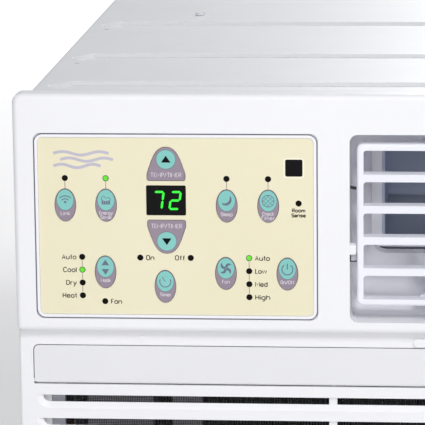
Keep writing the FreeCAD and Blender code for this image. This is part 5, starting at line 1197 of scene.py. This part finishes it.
@dataclass
class BezelGapShade:
    """Painted shade: a dark line on the panel's face where the narrow gap round the control bezel
    falls in shade.
    """

    width: float = 0.0007
    corner: float = 0.0062
    skin: float = 0.00003
    shown: float = 0.0036

    def build(self) -> None:
        """Lay the painted shade line round the part of the bezel that shows."""
        low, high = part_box("control_bezel")
        cloth = Fabric("bezel_gap_shade")
        x0, x1 = low.x + self.shown, high.x - self.shown
        z0, z1 = low.z + self.shown, high.z - self.shown
        r = self.corner
        line = (arc_line(x1 - r, z1 - r, r, 0, 90, 8) + arc_line(x0 + r, z1 - r, r, 90, 180, 8)
                + arc_line(x0 + r, z0 + r, r, 180, 270, 8)
                + arc_line(x1 - r, z0 + r, r, 270, 360, 8))
        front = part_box("front_panel")[0].y
        cloth.stroke(line, self.width, front - self.skin, front, closed=True)
        cloth.piece(Finishes.GAP_SHADE, "chassis")


@dataclass
class FilterCloth:
    """The woven net in the air filter."""

    pitch: float = 0.0013
    strand: float = 0.0003

    def build(self) -> None:
        """Weave the net as crossing flat strands."""
        low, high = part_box("air_filter_mesh")
        cloth = Fabric("filter_net")
        middle = (low.y + high.y) / 2
        half = self.strand / 2
        for k in range(int((high.x - low.x) / self.pitch)):
            x = low.x + self.pitch * (k + 0.5)
            cloth.box((x - half, middle - half, low.z), (x + half, middle, high.z))
        for k in range(int((high.z - low.z) / self.pitch)):
            z = low.z + self.pitch * (k + 0.5)
            cloth.box((low.x, middle, z - half), (high.x, middle + half, z + half))
        net = cloth.piece(Finishes.NYLON, "air_filter")
        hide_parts("air_filter_mesh")


@dataclass
class CoilSeal:
    """Foam strips that close the gap between the filter and the left end of the coil."""

    thick: float = 0.0085
    stand_off: float = 0.0003
    strips: tuple[tuple[float, float], ...] = ((0.012, 0.0605), (0.074, 0.0955))
    low_clear: float = 0.004
    top_clear: float = 0.003

    def build(self) -> None:
        """Lay the strips side by side on the coil's room face."""
        low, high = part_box("evaporator_fins")
        cloth = Fabric("coil_seal")
        back = low.y - self.stand_off
        for start, end in self.strips:
            self.strip(cloth, low.x + start, low.x + end, back, low.z + self.low_clear,
                       high.z - self.top_clear)
        cloth.piece(Finishes.SEAL, "chassis", bevel=0.0006)

    def strip(self, cloth: Fabric, x0: float, x1: float, back: float, z0: float,
              z1: float) -> None:
        """Add one strip with a gently uneven edge.

        Args:
            cloth: Where it goes.
            x0: Left edge.
            x1: Right edge.
            back: Y of the face on the coil's side.
            z0: Foot.
            z1: Head.
        """
        steps = 24
        points = []
        for k in range(steps + 1):
            z = z0 + (z1 - z0) * k / steps
            sway = 0.0007 * math.sin(5.0 * k / steps + 40.0 * x0)
            front = back - self.thick - 0.0003 * math.sin(9.0 * k / steps)
            points += [(x0 + sway, front, z), (x1 + sway, front, z),
                       (x1 + sway, back, z), (x0 + sway, back, z)]
        faces = [(4 * k + i, 4 * k + (i + 1) % 4, 4 * k + 4 + (i + 1) % 4, 4 * k + 4 + i)
                 for k in range(steps) for i in range(4)]
        last = 4 * steps
        faces += [(3, 2, 1, 0), (last, last + 1, last + 2, last + 3)]
        cloth.add(points, faces)


@dataclass
class AirDeflector:
    """Curved sheet in the scroll's chamber that turns the air forward to the outlet."""

    thick: float = 0.0012
    side_clear: float = 0.0006
    lead: float = 0.006
    depth: float = 0.085
    steps: int = 20

    def build(self) -> None:
        """Sweep the sheet from the chamber's roof down to its back."""
        low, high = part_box("scroll_housing")
        duct_low, duct_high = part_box("discharge_duct")
        mouth_side = 0.0225
        x0 = duct_low.x + mouth_side + self.side_clear
        x1 = duct_high.x - mouth_side - self.side_clear
        roof = high.z - 0.004
        front = low.y + self.lead
        drop = 0.060
        outer, inner = [], []
        for k in range(self.steps + 1):
            angle = math.pi / 2 * k / self.steps
            y = front + self.depth * math.sin(angle)
            z = roof - drop * (1 - math.cos(angle))
            outer.append((y, z))
            inner.append((y - self.thick * math.sin(angle), z - self.thick * math.cos(angle)))
        loop = outer + inner[::-1]
        count = len(loop)
        points = [(x, y, z) for x in (x0, x1) for y, z in loop]
        faces = [(i, (i + 1) % count, count + (i + 1) % count, count + i)
                 for i in range(count)]
        for k in range(self.steps):
            a, b = k, k + 1
            c, d = count - 1 - k, count - 2 - k
            faces += [(a, c, d, b), (count + a, count + b, count + d, count + c)]
        cloth = Fabric("air_deflector")
        cloth.add(points, faces)
        cloth.piece(Finishes.SCROLL_PAINTED_LIGHT, "chassis", smooth=False)


@dataclass
class TroughEndShade:
    """Painted shade: small grey ovals beside the ends of the cover's stamped troughs, where the
    rounded trough ends fall in shade.
    """

    inset: float = 0.0205
    places: tuple[float, ...] = (0.0202, 0.1582, 0.3460)
    long: float = 0.0042
    short: float = 0.0030
    lift: float = 0.00004
    sides: int = 16

    def build(self) -> None:
        """Lay three ovals of painted shade down each side of the cover's top."""
        low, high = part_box("cabinet")
        sheet = high.z
        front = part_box("front_panel")[0].y
        cloth = Fabric("trough_end_shades")
        for x in (low.x + self.inset, high.x - self.inset):
            for place in self.places:
                self.mark(cloth, x, front + place, sheet)
        cloth.piece(Finishes.TROUGH_END_SHADE, "chassis")

    def mark(self, cloth: Fabric, x: float, y: float, sheet: float) -> None:
        """Add one oval of painted shade.

        Args:
            cloth: Where it goes.
            x: Centre across.
            y: Centre front to back.
            sheet: Height of the sheet it lies on.
        """
        rim = [(x + self.long / 2 * math.cos(2 * math.pi * k / self.sides),
                y + self.short / 2 * math.sin(2 * math.pi * k / self.sides))
               for k in range(self.sides)]
        points = [(a, b, z) for z in (sheet, sheet + self.lift) for a, b in rim]
        count = self.sides
        faces = [tuple(range(count))[::-1], tuple(range(count, 2 * count))]
        faces += [(k, (k + 1) % count, count + (k + 1) % count, count + k)
                  for k in range(count)]
        cloth.add(points, faces)


@dataclass
class PivotClip:
    """Snap cover over the louvre's left pivot, the leg below it, painted shade along the leg's
    left and bottom edges and a dark line across above the pivot.
    """

    pin_length: float = 0.0072
    reach: float = 0.0050
    rise: float = 0.0035
    proud: float = 0.0005
    front_back: float = 0.0046
    leg_drop: float = 0.0076
    leg_back: float = 0.0120
    shade_width: float = 0.0009

    def build(self) -> None:
        """Mould the cover and its leg beside the louvre, and lay the dark lines."""
        low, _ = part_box("louver_frame_left")
        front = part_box("front_panel")[0].y
        tilt = next(j for j in frame["joints"] if j["name"] == "louver_left_tilt")
        pivot = tilt["pos_m"][2]
        x1 = low.x + self.pin_length - self.proud
        x0 = x1 - self.reach
        foot = pivot - self.rise
        cover = Fabric("pivot_cover")
        cover.box((x0, front + self.proud, foot),
                  (x1, front + self.proud + self.front_back, pivot + self.rise))
        cover.piece(Finishes.BODY, "chassis", bevel=0.0008)
        y = front + self.leg_back
        leg = Fabric("pivot_leg")
        leg.box((x0 + self.shade_width, y, foot - self.leg_drop + self.shade_width),
                (x1, y + self.front_back, foot - self.proud))
        leg.piece(Finishes.LOUVER, "chassis", bevel=0.0004)
        # Dark lines along the leg's left and bottom edges are painted shade where the slot beside
        # the leg falls in shade; a second dark line lies across above the pivot.
        shade = Fabric("pivot_shade_lines")
        edge = x0 + self.shade_width / 2
        base = foot - self.leg_drop + self.shade_width / 2
        shade.stroke([(edge, foot - self.proud), (edge, base), (x1, base)], self.shade_width,
                     y + self.proud, y + self.front_back)
        notch = pivot + 0.0425
        shade.stroke([(x0, notch + self.shade_width), (x1, notch)], 1.6 * self.shade_width,
                     y + self.proud, y + self.front_back)
        shade.piece(Finishes.SWITCH_AND_PAINTED_SHADE, "chassis")


@dataclass
class DuctGasket:
    """Foam ring that seals the duct to the blower's housing."""

    side: float = 0.0095
    band: float = 0.0030
    clear: float = 0.0004

    def build(self) -> None:
        """Lay the ring between the duct's end and the housing's mouth."""
        low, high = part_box("discharge_duct")
        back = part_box("scroll_housing")[0].y - self.clear
        front = high.y + self.clear
        wall = 0.0130
        x0, x1 = low.x + wall, high.x - wall
        z0, z1 = high.z - 0.0996, high.z - 0.0160
        cloth = Fabric("duct_gasket")
        cloth.box((x0, front, z0), (x0 + self.side, back, z1))
        cloth.box((x1 - self.side, front, z0), (x1, back, z1))
        cloth.box((x0 + self.side, front, z0), (x1 - self.side, back, z0 + self.band))
        cloth.box((x0 + self.side, front, z1 - self.band), (x1 - self.side, back, z1))
        cloth.piece(Finishes.DUCT_PAINTED_LIGHT, "chassis")


@dataclass
class FinPack:
    """A stack of pressed fins between end plates; the tubes through them are not built here."""

    node: str
    name: str
    pitch: float = 0.0021
    foil: float = 0.0003
    plate: float = 0.0012
    ripple: float = 0.0012

    def build(self) -> None:
        """Stack the fins and add the end plates."""
        low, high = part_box(self.node)
        fins = Fabric(self.name + "_fins")
        count = int((high.x - low.x - 2 * self.plate) / self.pitch)
        steps = 8
        for k in range(count):
            x = low.x + self.plate + self.pitch * (k + 0.5)
            self.fin(fins, x, low, high, steps)
        made = fins.piece(Finishes.FOIL, "chassis")
        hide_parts(self.node)
        plates = Fabric(self.name + "_end_plates")
        for x0 in (low.x, high.x - self.plate):
            plates.box((x0, low.y, low.z), (x0 + self.plate, high.y, high.z))
        plates.piece(Finishes.PAN, "chassis")

    def fin(self, cloth: Fabric, x: float, low: Vector, high: Vector, steps: int) -> None:
        """Add one rippled fin.

        Args:
            cloth: Where it goes.
            x: Its place across.
            low: Lowest corner of the pack.
            high: Highest corner of the pack.
            steps: Number of ripples through the pack.
        """
        points = []
        for k in range(steps + 1):
            y = low.y + (high.y - low.y) * k / steps
            shift = self.ripple / 4 * (1 if k % 2 else -1)
            for side in (-self.foil / 2, self.foil / 2):
                points += [(x + shift + side, y, low.z), (x + shift + side, y, high.z)]
        faces = []
        for k in range(steps):
            a, b = 4 * k, 4 * (k + 1)
            faces += [(a, a + 1, b + 1, b), (a + 2, b + 2, b + 3, a + 3),
                      (a + 1, a + 3, b + 3, b + 1), (a, b, b + 2, a + 2)]
        end = 4 * steps
        faces += [(0, 2, 3, 1), (end, end + 1, end + 3, end + 2)]
        cloth.add(points, faces)


@dataclass
class RearGuard:
    """Welded wire guard over the outdoor coil."""

    radius: float = 0.0011
    pitch_wide: float = 0.024
    pitch_tall: float = 0.026
    border: float = 0.0016

    def build(self) -> None:
        """Bend the border and weld the wires across it."""
        low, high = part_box("rear_guard")
        cloth = Fabric("guard_wires")
        y_border = high.y - self.border
        y_cross = y_border - self.radius * 0.6
        y_upright = y_cross + self.radius * 1.6
        corner = 0.012
        inset = self.border
        x0, x1, z0, z1 = low.x + inset, high.x - inset, low.z + inset, high.z - inset
        line = (arc_line(x1 - corner, z1 - corner, corner, 0, 90, 7)
                + arc_line(x0 + corner, z1 - corner, corner, 90, 180, 7)
                + arc_line(x0 + corner, z0 + corner, corner, 180, 270, 7)
                + arc_line(x1 - corner, z0 + corner, corner, 270, 360, 7))
        loop = [(x, y_border, z) for x, z in line]
        cloth.tube(loop + loop[:1], self.border, 10)
        rows = max(2, round((z1 - z0) / self.pitch_tall))
        for k in range(1, rows):
            z = z0 + (z1 - z0) * k / rows
            cloth.tube([(x0, y_cross, z), (x1, y_cross, z)], self.radius, 8)
        columns = max(2, round((x1 - x0) / self.pitch_wide))
        for k in range(1, columns):
            x = x0 + (x1 - x0) * k / columns
            cloth.tube([(x, y_upright, z0), (x, y_upright, z1)], self.radius, 8)
        made = cloth.piece(Finishes.GUARD, "chassis", smooth=True)
        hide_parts("rear_guard")


@dataclass
class Studio:
    """Plain pale floor, soft light and the camera."""

    eye: tuple[float, float, float] = (0.02026, -2.38799, 0.72005)
    yaw: float = 5.0196
    pitch: float = 11.3633
    roll: float = -0.61195
    lens: float = 254.12
    target: tuple[float, float, float] = (0.0, 0.0, 0.2)
    floor_half: float = 40.0

    def build(self) -> None:
        """Set up the floor, the lights and the camera."""
        self.floor()
        self.lights()
        self.camera()

    def floor(self) -> None:
        """Lay a wide pale floor under the unit."""
        low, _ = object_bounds()
        cloth = Fabric("studio_floor")
        half, top = self.floor_half, low.z - 0.0005
        cloth.add([(-half, -half, top), (half, -half, top), (half, half, top),
                   (-half, half, top)], [(0, 1, 2, 3)])
        mesh = bpy.data.meshes.new("studio_floor")
        mesh.from_pydata(cloth.points, [], cloth.faces)
        mesh.materials.append(Finishes.FLOOR.material())
        floor = bpy.data.objects.new("studio_floor", mesh)
        bpy.context.scene.collection.objects.link(floor)
        floor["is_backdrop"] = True

    def lights(self) -> None:
        """Fill the room softly and add a key from the left and above."""
        world = bpy.data.worlds.new("studio_air")
        world.use_nodes = True
        sky = world.node_tree.nodes["Background"]
        sky.inputs["Color"].default_value = (0.95, 0.96, 1.0, 1.0)
        sky.inputs["Strength"].default_value = 0.22
        bpy.context.scene.world = world
        for name, place, size, power in (
                ("key_light", (1.5, -3.5, 3.0), 1.2, 98.0),
                ("front_light", (0.0, -5.0, 1.6), 2.6, 42.0),
                ("over_light", (0.3, -1.3, 3.0), 1.6, 12.0),
                ("rear_light", (0.8, 4.0, 2.3), 1.6, 122.0),
                ("left_wash", (-2.8, 1.0, 2.2), 1.4, 13.0)):
            data = bpy.data.lights.new(name, "AREA")
            data.energy = power
            data.size = size
            lamp = bpy.data.objects.new(name, data)
            lamp.location = place
            aim = Vector(self.target) - Vector(place)
            lamp.rotation_mode = "QUATERNION"
            lamp.rotation_quaternion = aim.to_track_quat("-Z", "Y")
            lamp.visible_camera = False
            bpy.context.scene.collection.objects.link(lamp)

    def camera(self) -> None:
        """Stand the camera in front, a little above and to the right."""
        yaw, pitch, roll = (math.radians(a) for a in (self.yaw, self.pitch, self.roll))
        ahead = Vector((-math.sin(yaw) * math.cos(pitch), math.cos(yaw) * math.cos(pitch),
                        -math.sin(pitch)))
        side = Vector((math.cos(yaw), math.sin(yaw), 0.0))
        over = side.cross(ahead)
        right = side * math.cos(roll) + over * math.sin(roll)
        up = over * math.cos(roll) - side * math.sin(roll)
        turn = Matrix((right, up, -ahead)).transposed().to_4x4()
        data = bpy.data.cameras.new("viewpoint")
        data.lens = self.lens
        data.sensor_width = 36.0
        data.clip_end = 100.0
        eye = bpy.data.objects.new("viewpoint", data)
        eye.matrix_world = Matrix.Translation(self.eye) @ turn
        bpy.context.scene.collection.objects.link(eye)
        bpy.context.scene.camera = eye
        bpy.context.scene.view_settings.view_transform = "Standard"


def main() -> None:
    """Build every sub-assembly in order."""
    logging.basicConfig(level=logging.INFO, format="%(message)s")
    for part in (Skins(), ControlPrint(), BezelGapShade(), TroughEndShade(), PivotClip(), DuctGasket(),
                 AirDeflector(), FilterCloth(), CoilSeal(),
                 FinPack("evaporator_fins", "indoor_coil"),
                 FinPack("condenser_fins", "outdoor_coil"), RearGuard(), Studio()):
        LOG.info("building %s", type(part).__name__)
        part.build()


if __name__ == "__main__":
    main()
